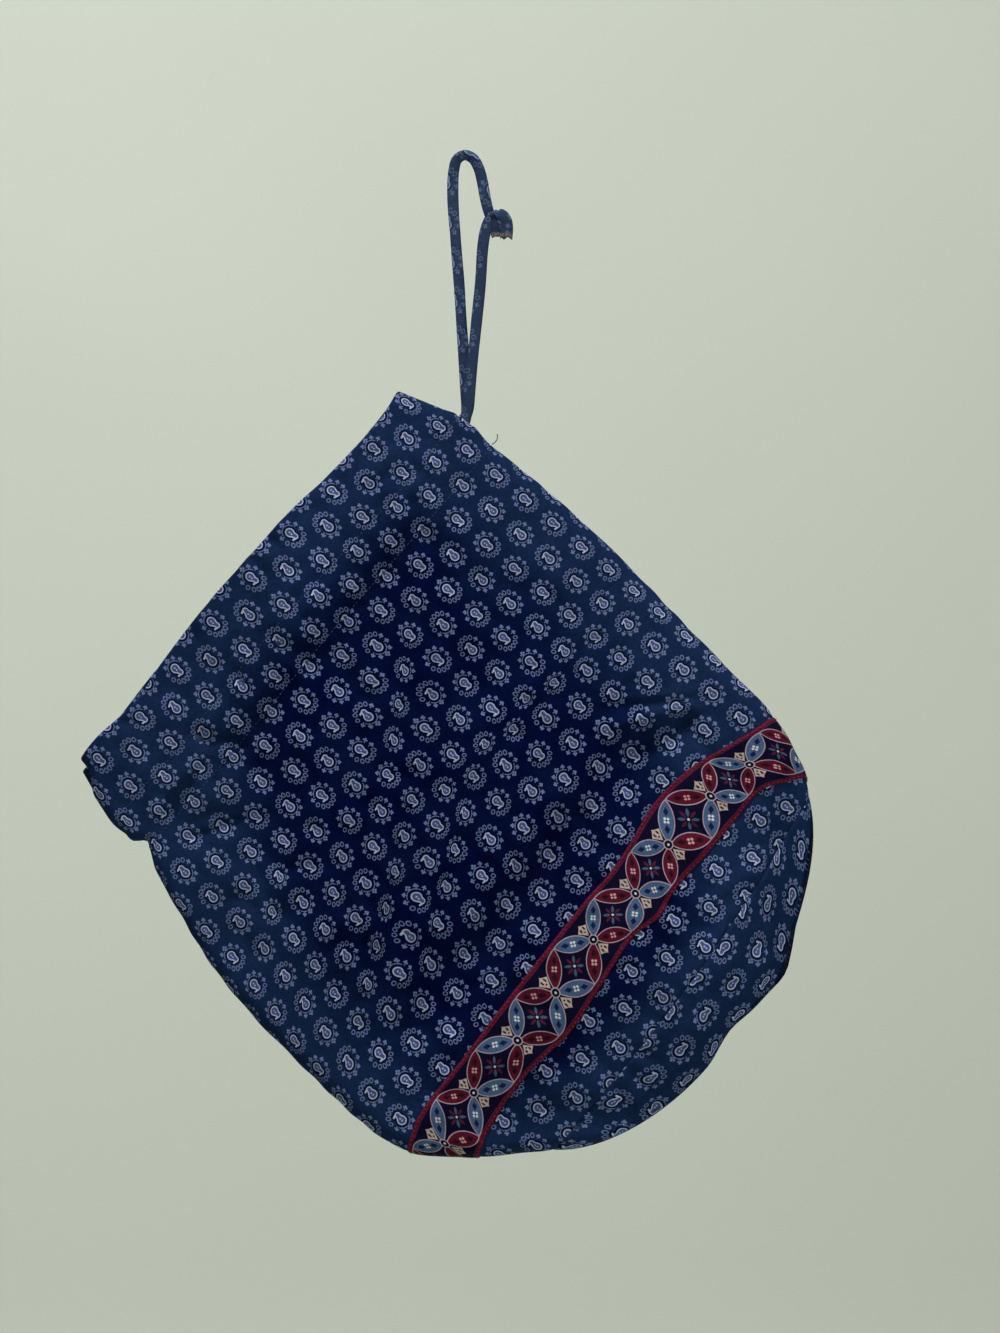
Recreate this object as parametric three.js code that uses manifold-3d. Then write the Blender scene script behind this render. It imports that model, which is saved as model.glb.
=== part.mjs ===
// A drawstring bag of printed cotton, hanging by the loop of its cord.
// Millimetres, +Z up, the front faces -Y. The origin is the point that the cord hangs from.
// The bag itself is described upright, x to the right and "drop" down from the rim, and then
// leaned over by TILT.
import * as THREE from "three";
import { mergeVertices } from "three/addons/utils/BufferGeometryUtils.js";
import Module from "manifold-3d";

const wasm = await Module();
wasm.setup();

// How the bag hangs
const TILT = 49.6; // degrees that it leans, because the cord leaves at its right-hand seam
const RIM_MIDDLE = { x: -174.9, z: -302.2 }; // middle of the rim, from the hanging point

// Cloth and clearances
const CLOTH = 1.2;
const BAND_CLOTH = 1.0;
const GAP = 0.3; // between neighbouring pieces
const LAYER_GAP = 0.4; // between the wall and its turned-in hem

// Hem, casing and the slit for the cord, as drops below the rim
const HEM_ROWS = [2, 16, 30, 39, 43, 49, 55, 59, 68, 78];
const CASING = { top: 39, bottom: 59, spread: 4.4 }; // the layers part here to let the cord through
const CASING_DROP = 51; // the cord's middle
const SLIT = { halfWidth: 6, ramp: 4 }; // it opens and closes over its ramp, within the casing

// The bag's outline: where the side seams lie, how far the front and the back stand out,
// and the radius that the cloth turns through at each side seam
const SECTIONS = [
  { drop: 0, left: -141, right: 195, front: 15, back: 12, leftTurn: 9, rightTurn: 12 },
  { drop: 31, left: -151, right: 205, front: 16, back: 12.5, leftTurn: 9, rightTurn: 12 },
  { drop: 49, left: -155, right: 211, front: 17, back: 13, leftTurn: 9, rightTurn: 12 },
  { drop: 71, left: -150, right: 208, front: 18, back: 13, leftTurn: 9, rightTurn: 12 },
  { drop: 88, left: -160, right: 208.5, front: 20, back: 13.5, leftTurn: 9, rightTurn: 12 },
  { drop: 116, left: -170.5, right: 209, front: 22, back: 14, leftTurn: 9, rightTurn: 12 },
  { drop: 157, left: -184, right: 208.5, front: 25, back: 15, leftTurn: 10, rightTurn: 12 },
  { drop: 198, left: -192, right: 206, front: 27, back: 16, leftTurn: 11, rightTurn: 12 },
  { drop: 239, left: -196, right: 202, front: 29, back: 17, leftTurn: 12, rightTurn: 13 },
  { drop: 292, left: -199.5, right: 197, front: 31, back: 18, leftTurn: 13, rightTurn: 14 },
  { drop: 320, left: -199, right: 195, front: 33, back: 19, leftTurn: 13, rightTurn: 14 },
  { drop: 342, left: -194, right: 191, front: 34, back: 20, leftTurn: 14, rightTurn: 15 },
  { drop: 382, left: -165, right: 175, front: 35, back: 21, leftTurn: 15, rightTurn: 16 },
  { drop: 406, left: -141, right: 155, front: 35, back: 22, leftTurn: 16, rightTurn: 17 },
  { drop: 418, left: -128, right: 140, front: 34, back: 22, leftTurn: 16, rightTurn: 17 },
];

// The rim isn't level: how far it dips, along the front and the back
const RIM = [
  { x: -141, front: 0, back: 6 },
  { x: -118, front: -1, back: 3 },
  { x: -80, front: 3.5, back: 0 },
  { x: -48, front: 0, back: -1 },
  { x: 0, front: -2.2, back: 0 },
  { x: 88, front: 0, back: 2 },
  { x: 120, front: 3.5, back: 3 },
  { x: 171, front: 6, back: 4 },
  { x: 195, front: 2, back: 2 },
];
const RIM_FADE = 70; // drop at which the dips have died away

const BOW_POWER = 1.5; // how flat the wall stays near the side turns before it stands out

// Places along the wall: 0 and 1 are where the side turns begin, and the seams lie SEAM_PAST beyond them
const SEAM_PAST = 0.05;

// The border band on the front: its two edges
const BAND = [
  { across: -SEAM_PAST, top: 343, bottom: 382 },
  { across: 0.04, top: 331.5, bottom: 373.5 },
  { across: 0.19, top: 328.5, bottom: 369 },
  { across: 0.3, top: 326, bottom: 372.5 },
  { across: 0.42, top: 324, bottom: 368 },
  { across: 0.55, top: 322.5, bottom: 363 },
  { across: 0.61, top: 323, bottom: 368 },
  { across: 0.67, top: 321, bottom: 364 },
  { across: 0.77, top: 315.5, bottom: 365 },
  { across: 0.86, top: 319.5, bottom: 365 },
  { across: 0.95, top: 330, bottom: 366 },
  { across: 1 + SEAM_PAST, top: 341, bottom: 386 },
];
const BACK_BAND_LIFT = 8; // on the back it runs plainly between the seams, a little higher in the middle
const BAND_SPANS = 3;

// The seam between the wall and the base
const BASE_SEAM = [
  { across: -SEAM_PAST, drop: 417 },
  { across: 0.2, drop: 416 },
  { across: 0.5, drop: 413 },
  { across: 0.65, drop: 410 },
  { across: 0.85, drop: 404 },
  { across: 1 + SEAM_PAST, drop: 394 },
];
// A bowl that starts to turn at the seam; the middle is a point inside it
const BASE = { poleX: -10, poleY: -6, bottom: 460, startAngle: 22, spans: 7 };
const BASE_MIDDLE = { y: -4, drop: 380 };

// Folds of the front: ridges (lift above 0) and hollows, each along a line from one point to the other
const FOLD_ENDS = 0.55; // the share of its lift that a fold has at its ends
const FOLD_FADE = 2.5; // how fast the folds die away towards the side turns
const FOLDS = [
  { x1: -116, drop1: 243, x2: 39, drop2: 133, halfWidth: 13, lift: 4.5 },
  { x1: -120, drop1: 268, x2: 67, drop2: 190, halfWidth: 14, lift: 4.5 },
  { x1: -141, drop1: 173, x2: -76, drop2: 137, halfWidth: 12, lift: 3.5 },
  { x1: 92, drop1: 273, x2: 161, drop2: 300, halfWidth: 13, lift: 4 },
  { x1: -70, drop1: 296, x2: 90, drop2: 290, halfWidth: 17, lift: -4 },
  { x1: 128, drop1: 378, x2: 135, drop2: 412, halfWidth: 9, lift: -4 },
  { x1: -128, drop1: 84, x2: -98, drop2: 108, halfWidth: 10, lift: -3 },
  { x1: -66, drop1: 84, x2: -58, drop2: 112, halfWidth: 9, lift: -3 },
];

// Facets: columns in each side turn and between them, and rows of the wall between the hem and the band
const FRONT = { name: "front", sign: -1, turnSpans: 4, flatSpans: 20, bodySpans: 13, skirtSpans: 3 };
const BACK = { name: "back", sign: 1, turnSpans: 4, flatSpans: 13, bodySpans: 6, skirtSpans: 2 };

// Steps, in columns, millimetres of drop and shares of the bowl, over which a surface's slope is taken
const STEP = { edge: 0.05, column: 0.04, drop: 0.5, bowl: 0.01 };
const SPINE = 120; // the wall faces away from a middle line that runs this far to each side
const SAME_POINT = 1e-5; // points nearer than this are one

// The cord: a flat tube, its width and thickness, and the sides of its section
const CORD = { width: 7.5, thickness: 3.2, sides: 8 };
const STRAND_OFFSET = 2.1; // at the slit the strands lie one before the other
// Its way in at the slit, from the right-hand seam
const ENTRY = [
  { fromSeam: 0.5, y: STRAND_OFFSET, drop: 48.6 },
  { fromSeam: -4.2, y: 4.1, drop: 50.6 },
  { fromSeam: -7.4, y: 7.1, drop: CASING_DROP },
];
// Its route outside the bag, from the knot down to the slit and from the slit over the hanging point
// to the knot; turn is how far the flat side is turned from facing the front, in degrees
const LOWER_STRAND = [
  { x: 19.2, y: -2.7, z: -36.4, turn: 0 },
  { x: 16.2, y: -2.8, z: -37.6, turn: 0 },
  { x: 14.1, y: -2.7, z: -41.6, turn: 0 },
  { x: 12.4, y: -2.6, z: -46.8, turn: 0 },
  { x: 10.7, y: -2.6, z: -57.6, turn: 0 },
  { x: 9.1, y: -2.7, z: -82, turn: 0 },
  { x: 6.5, y: -2.8, z: -108, turn: 0 },
  { x: 3.9, y: -2.6, z: -134, turn: 0 },
  { x: 2.0, y: -2.3, z: -155, turn: 0 },
  { x: 0.9, y: -STRAND_OFFSET, z: -167, turn: 0 },
];
const UPPER_STRAND = [
  { x: -0.3, y: STRAND_OFFSET, z: -167, turn: 0 },
  { x: -0.9, y: 2.3, z: -155, turn: 0 },
  { x: -2.0, y: 2.5, z: -134, turn: 0 },
  { x: -3.9, y: 2.7, z: -107, turn: 0 },
  { x: -5.4, y: 2.7, z: -82, turn: 0 },
  { x: -7.0, y: 2.4, z: -62.6, turn: 0 },
  { x: -8.1, y: 1.9, z: -47.6, turn: 5 },
  { x: -9.3, y: 1.3, z: -32, turn: 15 },
  { x: -9.7, y: 0.7, z: -17.7, turn: 35 },
  { x: -9.0, y: 0.3, z: -5, turn: 65 },
  { x: -6.8, y: 0, z: 3.4, turn: 85 },
  { x: -1.6, y: 0, z: 7.0, turn: 90 },
  { x: 4.0, y: 0, z: 4.2, turn: 85 },
  { x: 7.8, y: 0, z: -2.7, turn: 65 },
  { x: 10.4, y: 0.2, z: -12.7, turn: 35 },
  { x: 12.2, y: 0.5, z: -22.7, turn: 12 },
  { x: 14.2, y: 0.9, z: -31.4, turn: 0 },
  { x: 15.9, y: 1.2, z: -36.4, turn: 0 },
];
const KNOT_STRAND_POINTS = 4; // points at each end of the cord that lie in the knot

// The knot: a core, the two turns wound round it, and the two raw tails that hang from it
const KNOT_FACETS = { coreAround: 14, coreDown: 9, tube: 8, turn: 18 };
const KNOT = { x: 22.4, y: -1.2, z: -40, wide: 14, deep: 10.5, tall: 13.5 };
const KNOT_TURNS = [
  { radius: 5.2, tube: 2.4, lean: 62, swing: -38, dx: -2.6, dz: 1.2 },
  { radius: 5.0, tube: 2.2, lean: 70, swing: -20, dx: 2.0, dz: -0.6 },
];
const KNOT_TAILS = [
  { x1: 21, z1: -40, x2: 20.6, z2: -50.2, y: -0.4, turn: 8 },
  { x1: 25, z1: -40, x2: 27.4, z2: -51.6, y: -2.2, turn: -6 },
];

const NAVY = { color: 0x1d2748, roughness: 0.9, metalness: 0 };
const BAND_RED = { color: 0x5e1a2c, roughness: 0.85, metalness: 0 };

// A smooth value read from a table: a cubic through the rows, level with its neighbours' slope
function readTable(table, key, at, column) {
  const last = table.length - 1;
  let i = 0;
  while (i < last - 1 && at > table[i + 1][key]) i++;
  const slope = (k) => {
    const a = table[Math.max(0, k - 1)];
    const b = table[Math.min(last, k + 1)];
    return (b[column] - a[column]) / (b[key] - a[key]);
  };
  const from = table[i];
  const to = table[i + 1];
  const span = to[key] - from[key];
  const t = THREE.MathUtils.clamp((at - from[key]) / span, 0, 1);
  const t2 = t * t;
  const t3 = t2 * t;
  return (
    from[column] * (2 * t3 - 3 * t2 + 1) +
    to[column] * (3 * t2 - 2 * t3) +
    slope(i) * span * (t3 - 2 * t2 + t) +
    slope(i + 1) * span * (t3 - t2)
  );
}

// How far the folds lift the front cloth at a point
function foldLift(x, drop) {
  let lift = 0;
  for (const fold of FOLDS) {
    const along = { x: fold.x2 - fold.x1, drop: fold.drop2 - fold.drop1 };
    const length2 = along.x ** 2 + along.drop ** 2;
    const t = ((x - fold.x1) * along.x + (drop - fold.drop1) * along.drop) / length2;
    const near = THREE.MathUtils.clamp(t, 0, 1);
    const dx = x - fold.x1 - near * along.x;
    const dd = drop - fold.drop1 - near * along.drop;
    const ridge = Math.exp(-(dx * dx + dd * dd) / fold.halfWidth ** 2);
    lift += fold.lift * ridge * (FOLD_ENDS + (1 - FOLD_ENDS) * Math.sin(Math.PI * near));
  }
  return lift;
}

const columnCount = (side) => 2 * side.turnSpans + side.flatSpans;

// Where a column lies between the side turns, and how far past them in a turn
function acrossOf(side, column) {
  const beyond = Math.max(side.turnSpans - column, column - side.turnSpans - side.flatSpans, 0);
  const across = THREE.MathUtils.clamp((column - side.turnSpans) / side.flatSpans, 0, 1);
  return across + ((across < 0.5 ? -SEAM_PAST : SEAM_PAST) * beyond) / side.turnSpans;
}

// How far the slit holds the seam's edge back, along the cloth
function slitAt(drop) {
  const toEnd = Math.min(drop - CASING.top, CASING.bottom - drop);
  return SLIT.halfWidth * THREE.MathUtils.clamp(toEnd / SLIT.ramp, 0, 1);
}

// The outer surface of the wall: a point for a column and a drop, upright in the bag's own frame
function surface(side, column, drop, slit) {
  const at = (name) => readTable(SECTIONS, "drop", drop, name);
  const [left, right, leftTurn, rightTurn] = ["left", "right", "leftTurn", "rightTurn"].map(at);
  const depth = at(side.name);
  const fromRight = columnCount(side) - column;
  let x;
  let y;
  if (column < side.turnSpans) {
    const start = GAP / 2 / leftTurn;
    const angle = start + (Math.PI / 2 - start) * (column / side.turnSpans);
    x = left + leftTurn * (1 - Math.cos(angle));
    y = leftTurn * Math.sin(angle);
  } else if (fromRight < side.turnSpans) {
    const start = (GAP / 2 + (slit ? slitAt(drop) : 0)) / rightTurn;
    const angle = start + (Math.PI / 2 - start) * (fromRight / side.turnSpans);
    x = right - rightTurn * (1 - Math.cos(angle));
    y = rightTurn * Math.sin(angle);
  } else {
    const across = acrossOf(side, column);
    const edge = THREE.MathUtils.lerp(leftTurn, rightTurn, across);
    const bow = Math.sin(Math.PI * across);
    x = THREE.MathUtils.lerp(left + leftTurn, right - rightTurn, across);
    y = edge + (depth - edge) * bow ** BOW_POWER;
    if (side === FRONT) y += foldLift(x, drop) * Math.min(1, FOLD_FADE * bow);
  }
  const dip = readTable(RIM, "x", x, side.name) * Math.max(0, 1 - drop / RIM_FADE);
  return new THREE.Vector3(x, side.sign * y, -drop - dip);
}

// The unit normal of a surface given as a function of two numbers, pointing away from a point inside
function normalOf(at, u, v, uStep, vStep, inside) {
  const along = at(u + uStep, v).sub(at(u - uStep, v));
  const down = at(u, v + vStep).sub(at(u, v - vStep));
  const normal = along.cross(down).normalize();
  return normal.dot(at(u, v).sub(inside)) < 0 ? normal.negate() : normal;
}

function wallNormal(side, column, drop) {
  const last = columnCount(side);
  const within = THREE.MathUtils.clamp(column, STEP.edge, last - STEP.edge);
  const spineX = THREE.MathUtils.clamp(surface(side, column, drop).x, -SPINE, SPINE);
  const inside = new THREE.Vector3(spineX, 0, -drop);
  const normal = normalOf((c, d) => surface(side, c, d), within, drop, STEP.column, STEP.drop, inside);
  if (column === 0 || column === last) normal.setY(0).normalize(); // a seam's edge stays square to the seam
  return normal;
}

// A point of the wall, set in from its outer surface
function wallPoint(side, column, drop, inset, slit) {
  return surface(side, column, drop, slit).addScaledVector(wallNormal(side, column, drop), -inset);
}

// The band's edges and the base seam, on either side of the bag
function bandEdge(side, column, edge) {
  const across = acrossOf(side, column);
  if (side === FRONT) return readTable(BAND, "across", across, edge);
  const between = (across + SEAM_PAST) / (1 + 2 * SEAM_PAST);
  const ends = THREE.MathUtils.lerp(BAND[0][edge], BAND[BAND.length - 1][edge], between);
  return ends - BACK_BAND_LIFT * Math.sin(Math.PI * between);
}

function baseSeam(side, column) {
  return readTable(BASE_SEAM, "across", acrossOf(side, column), "drop");
}

// The drops of the wall's rows in one column, from the hem's first row to the base seam
function wallDrops(side, column) {
  const hemEnd = HEM_ROWS[HEM_ROWS.length - 1];
  const edges = ["top", "bottom"].map((edge) => bandEdge(side, column, edge));
  const lines = [hemEnd, ...edges, baseSeam(side, column)];
  const spans = [side.bodySpans, BAND_SPANS, side.skirtSpans];
  const drops = [...HEM_ROWS];
  spans.forEach((count, k) => {
    for (let i = 1; i <= count; i++) drops.push(THREE.MathUtils.lerp(lines[k], lines[k + 1], i / count));
  });
  return drops;
}

// A closed wall between an outer and an inner grid of points, grid[row][column];
// round says that the last column joins the first, and pole that the last row is a single point
function closedWall(outer, inner, round, pole) {
  const rows = outer.length;
  const columns = outer[0].length;
  const points = [...outer.flat(), ...inner.flat()];
  const index = [];
  const id = (layer, row, column) => layer * rows * columns + row * columns + (column % columns);
  const quad = (a, b, c, d) => index.push(a, b, c, a, c, d);
  const lastColumn = round ? columns : columns - 1;
  for (let i = 0; i + 1 < rows; i++) {
    for (let j = 0; j < lastColumn; j++) {
      quad(id(0, i, j), id(0, i + 1, j), id(0, i + 1, j + 1), id(0, i, j + 1));
      quad(id(1, i, j), id(1, i, j + 1), id(1, i + 1, j + 1), id(1, i + 1, j));
    }
    if (round) continue;
    const end = columns - 1;
    quad(id(0, i, 0), id(1, i, 0), id(1, i + 1, 0), id(0, i + 1, 0));
    quad(id(0, i, end), id(0, i + 1, end), id(1, i + 1, end), id(1, i, end));
  }
  for (let j = 0; j < lastColumn; j++) {
    quad(id(0, 0, j), id(0, 0, j + 1), id(1, 0, j + 1), id(1, 0, j));
    if (pole) continue;
    const end = rows - 1;
    quad(id(0, end, j), id(1, end, j), id(1, end, j + 1), id(0, end, j + 1));
  }
  return facedOut(points, index);
}

// A geometry from points and triangles, with shared points merged and every face turned outwards
function facedOut(points, index) {
  let volume = 0;
  for (let i = 0; i < index.length; i += 3) {
    const [a, b, c] = [points[index[i]], points[index[i + 1]], points[index[i + 2]]];
    volume += a.dot(b.clone().cross(c)) / 6;
  }
  const order = volume < 0 ? [0, 2, 1] : [0, 1, 2];
  const faces = [];
  for (let i = 0; i < index.length; i += 3) {
    const corners = order.map((k) => index[i + k]);
    const [a, b, c] = corners.map((k) => points[k]);
    const shortest = Math.min(a.distanceTo(b), b.distanceTo(c), c.distanceTo(a));
    if (shortest > SAME_POINT) faces.push(...corners);
  }
  const geometry = new THREE.BufferGeometry().setFromPoints(points);
  geometry.setIndex(faces);
  return mergeVertices(geometry, SAME_POINT);
}

// Half of the bag's wall: up the outside from the base seam, over the rim and down the turned-in hem
function panel(side) {
  const outer = [];
  const inner = [];
  const columns = [...Array(columnCount(side) + 1).keys()];
  const drops = columns.map((column) => wallDrops(side, column));
  for (let row = drops[0].length - 1; row >= 0; row--) {
    outer.push(columns.map((c) => wallPoint(side, c, drops[c][row], 0, true)));
    inner.push(columns.map((c) => wallPoint(side, c, drops[c][row], CLOTH, true)));
  }
  const foldInset = CLOTH + LAYER_GAP / 2;
  outer.push(columns.map((c) => wallPoint(side, c, 0, foldInset, false)));
  inner.push(columns.map((c) => wallPoint(side, c, CLOTH, foldInset, false)));
  for (const drop of HEM_ROWS) {
    const inCasing = drop >= CASING.top && drop <= CASING.bottom;
    const inset = CLOTH + (inCasing ? CASING.spread : LAYER_GAP);
    outer.push(columns.map((c) => wallPoint(side, c, drop, inset + CLOTH, false)));
    inner.push(columns.map((c) => wallPoint(side, c, drop, inset, false)));
  }
  return closedWall(outer, inner, false, false);
}

// The border strip, laid over the wall on the wall's own rows
function band(side) {
  const first = HEM_ROWS.length - 1 + side.bodySpans;
  const columns = [...Array(columnCount(side) + 1).keys()];
  const rows = [...Array(BAND_SPANS + 1).keys()].map((i) => first + i);
  const drops = columns.map((column) => wallDrops(side, column));
  const layer = (inset) => rows.map((row) => columns.map((c) => wallPoint(side, c, drops[c][row], inset)));
  return closedWall(layer(-GAP - BAND_CLOTH), layer(-GAP), false, false);
}

// The bottom panel: a bowl hung from the seam, its rings drawing in to a pole
function base() {
  const ring = [];
  for (let c = 0; c <= columnCount(FRONT); c++) ring.push({ side: FRONT, column: c });
  for (let c = columnCount(BACK) - 1; c > 0; c--) ring.push({ side: BACK, column: c });
  const start = THREE.MathUtils.degToRad(BASE.startAngle);
  const bowl = ({ side, column }, t) => {
    const seam = baseSeam(side, column) + GAP;
    const edge = surface(side, column, seam);
    const angle = start + (Math.PI / 2 - start) * t;
    const reach = Math.cos(angle) / Math.cos(start);
    const sink = (Math.sin(angle) - Math.sin(start)) / (1 - Math.sin(start));
    const x = BASE.poleX + (edge.x - BASE.poleX) * reach;
    const drop = seam + (BASE.bottom - seam) * sink;
    const y = BASE.poleY + (edge.y - BASE.poleY) * reach;
    return new THREE.Vector3(x, y, -drop);
  };
  const inside = new THREE.Vector3(0, BASE_MIDDLE.y, -BASE_MIDDLE.drop);
  const bowlNormal = ({ side, column }, t) => {
    if (t === 0) return wallNormal(side, column, baseSeam(side, column));
    if (t === 1) return new THREE.Vector3(0, 0, -1);
    const at = (c, s) => bowl({ side, column: c }, s);
    const within = THREE.MathUtils.clamp(column, STEP.edge, columnCount(side) - STEP.edge);
    return normalOf(at, within, t, STEP.column, STEP.bowl, inside);
  };
  const outer = [];
  const inner = [];
  for (let i = 0; i <= BASE.spans; i++) {
    const t = i / BASE.spans;
    outer.push(ring.map((place) => bowl(place, t)));
    inner.push(ring.map((place) => bowl(place, t).addScaledVector(bowlNormal(place, t), -CLOTH)));
  }
  return closedWall(outer, inner, true, true);
}

// The cord's way through the casing: in at the slit, along the front, round the left seam
// and back along the back, as points of the bag's own frame
function casingRoute() {
  const seam = readTable(SECTIONS, "drop", CASING_DROP, "right");
  const entry = (side) =>
    ENTRY.map((p) => new THREE.Vector3(seam + p.fromSeam, side.sign * p.y, -p.drop));
  const middle = CLOTH + CASING.spread / 2;
  const inTunnel = (side, column) => wallPoint(side, column, CASING_DROP, middle, false);
  const route = entry(FRONT);
  for (let c = columnCount(FRONT) - FRONT.turnSpans; c > 0; c--) route.push(inTunnel(FRONT, c));
  route.push(inTunnel(FRONT, 0).setY(0));
  for (let c = 1; c <= columnCount(BACK) - BACK.turnSpans; c++) route.push(inTunnel(BACK, c));
  return [...route, ...entry(BACK).reverse()];
}

// A flat tube along a curve: its width lies along widthAxis as nearly as the curve allows,
// and is then turned by turnAt(t)
function flatTube(curve, stations, widthAxis, turnAt, { width, thickness, sides }) {
  const points = [];
  for (const t of stations) {
    const middle = curve.getPoint(t);
    const tangent = curve.getTangent(t);
    const wide = widthAxis.clone().addScaledVector(tangent, -widthAxis.dot(tangent)).normalize();
    wide.applyAxisAngle(tangent, turnAt(t));
    const thin = tangent.clone().cross(wide);
    for (let k = 0; k < sides; k++) {
      const angle = (2 * Math.PI * (k + 0.5)) / sides;
      const ring = middle.clone().addScaledVector(wide, (width / 2) * Math.cos(angle));
      points.push(ring.addScaledVector(thin, (thickness / 2) * Math.sin(angle)));
    }
  }
  const index = [];
  const rings = stations.length;
  for (let i = 0; i + 1 < rings; i++) {
    for (let k = 0; k < sides; k++) {
      const [a, b] = [i * sides + k, i * sides + ((k + 1) % sides)];
      index.push(a, b, b + sides, a, b + sides, a + sides);
    }
  }
  const end = (rings - 1) * sides;
  for (let k = 1; k + 1 < sides; k++) {
    index.push(0, k + 1, k);
    index.push(end, end + k, end + k + 1);
  }
  return facedOut(points, index);
}

// A tube along the cord's route, from one of its points to another, its section grown by a clearance
function cordTube(bag, route, clearance) {
  const curve = new THREE.CatmullRomCurve3(route.map((p) => p.at), false, "centripetal");
  const last = route.length - 1;
  const turnAt = (t) => THREE.MathUtils.degToRad(route[Math.round(t * last)].turn);
  const bagUp = new THREE.Vector3(0, 0, 1).applyQuaternion(bag.quaternion);
  const grown = (size) => size + 2 * clearance;
  const section = { width: grown(CORD.width), thickness: grown(CORD.thickness), sides: CORD.sides };
  return flatTube(curve, route.map((_, i) => i / last), bagUp, turnAt, section);
}

// The drawstring's route: one length, from the knot through the casing and over the hanging point
// to the knot again
function cordRoute(bag) {
  const free = (p) => ({ at: new THREE.Vector3(p.x, p.y, p.z), turn: p.turn });
  const hidden = casingRoute().map((p) => ({ at: bag.localToWorld(p.clone()), turn: 0 }));
  return [...LOWER_STRAND.map(free), ...hidden, ...UPPER_STRAND.map(free)];
}

function toSolid(geometry) {
  const bare = new THREE.BufferGeometry().setAttribute("position", geometry.getAttribute("position"));
  const merged = mergeVertices(bare.setIndex(geometry.getIndex()), SAME_POINT);
  return new wasm.Manifold(
    new wasm.Mesh({
      numProp: 3,
      vertProperties: merged.getAttribute("position").array,
      triVerts: Uint32Array.from(merged.getIndex().array),
    }),
  );
}

// The overhand knot that ties the two ends together, cut clear of the strands that run into it
function knot(bag, route) {
  const core = new THREE.SphereGeometry(1, KNOT_FACETS.coreAround, KNOT_FACETS.coreDown);
  core.scale(KNOT.wide / 2, KNOT.deep / 2, KNOT.tall / 2);
  const pieces = [core.translate(KNOT.x, KNOT.y, KNOT.z)];
  for (const turn of KNOT_TURNS) {
    const ring = new THREE.TorusGeometry(turn.radius, turn.tube, KNOT_FACETS.tube, KNOT_FACETS.turn);
    ring.rotateX(THREE.MathUtils.degToRad(turn.lean));
    ring.rotateY(THREE.MathUtils.degToRad(turn.swing));
    pieces.push(ring.translate(KNOT.x + turn.dx, KNOT.y, KNOT.z + turn.dz));
  }
  for (const tail of KNOT_TAILS) {
    const from = new THREE.Vector3(tail.x1, tail.y, tail.z1);
    const to = new THREE.Vector3(tail.x2, tail.y, tail.z2);
    const line = new THREE.LineCurve3(from, to);
    const turn = THREE.MathUtils.degToRad(90 + tail.turn);
    pieces.push(flatTube(line, [0, 1], new THREE.Vector3(0, 1, 0), () => turn, CORD));
  }
  const ends = [route.slice(0, KNOT_STRAND_POINTS), route.slice(-KNOT_STRAND_POINTS).reverse()];
  const cleared = ends.map((end) => {
    const beyond = end[0].at.clone().sub(end[1].at).setLength(2 * GAP).add(end[0].at);
    return toSolid(cordTube(bag, [{ at: beyond, turn: end[0].turn }, ...end], GAP));
  });
  const joined = pieces.map(toSolid).reduce((all, piece) => all.add(piece));
  const cut = cleared.reduce((all, piece) => all.subtract(piece), joined).getMesh();
  const geometry = new THREE.BufferGeometry();
  geometry.setAttribute("position", new THREE.BufferAttribute(cut.vertProperties, 3));
  return geometry.setIndex(new THREE.BufferAttribute(cut.triVerts, 1));
}

function mesh(name, geometry, finish) {
  const made = new THREE.Mesh(geometry, new THREE.MeshStandardMaterial(finish));
  made.name = name;
  return made;
}

const bag = new THREE.Group();
bag.position.set(RIM_MIDDLE.x, 0, RIM_MIDDLE.z);
bag.rotation.y = THREE.MathUtils.degToRad(-TILT);
bag.updateMatrixWorld(true);
bag.add(
  mesh("front_panel", panel(FRONT), NAVY),
  mesh("back_panel", panel(BACK), NAVY),
  mesh("base", base(), NAVY),
  mesh("band_front", band(FRONT), BAND_RED),
  mesh("band_back", band(BACK), BAND_RED),
);

const route = cordRoute(bag);
const part = new THREE.Group();
part.add(bag, mesh("drawstring", cordTube(bag, route, 0), NAVY), mesh("knot", knot(bag, route), NAVY));

export default part;
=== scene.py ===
# A printed cotton drawstring bag, hanging by the loop of its cord: its looks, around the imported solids.
# The bag is described upright in millimetres: x to the right, drop down from the rim, y towards the back.
import functools
import math

import bmesh
import bpy
import numpy as np
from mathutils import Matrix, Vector


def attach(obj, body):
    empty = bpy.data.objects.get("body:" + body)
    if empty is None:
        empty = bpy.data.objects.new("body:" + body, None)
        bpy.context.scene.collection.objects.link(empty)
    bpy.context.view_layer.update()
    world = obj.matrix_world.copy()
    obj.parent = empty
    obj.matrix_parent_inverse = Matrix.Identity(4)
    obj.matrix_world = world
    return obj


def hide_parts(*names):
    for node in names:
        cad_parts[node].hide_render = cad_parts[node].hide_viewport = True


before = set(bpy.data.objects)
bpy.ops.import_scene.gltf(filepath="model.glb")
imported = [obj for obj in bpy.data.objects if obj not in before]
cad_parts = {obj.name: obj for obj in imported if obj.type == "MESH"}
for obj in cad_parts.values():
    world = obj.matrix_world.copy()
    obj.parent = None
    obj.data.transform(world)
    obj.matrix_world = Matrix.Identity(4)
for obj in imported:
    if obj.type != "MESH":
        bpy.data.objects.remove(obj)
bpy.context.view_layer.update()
mm = 0.001
print("frame loaded:", len(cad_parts), "solids")


def addObject(name, data):
    item = bpy.data.objects.new(name, data)
    bpy.context.scene.collection.objects.link(item)
    return item


# Camera: straight on, far enough off that the bag's depth stays quiet
cameraSetup = dict(frameHeight=906.4, middleX=22.4, middleZ=-342.4, distance=3400, sensor=24)


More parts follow.
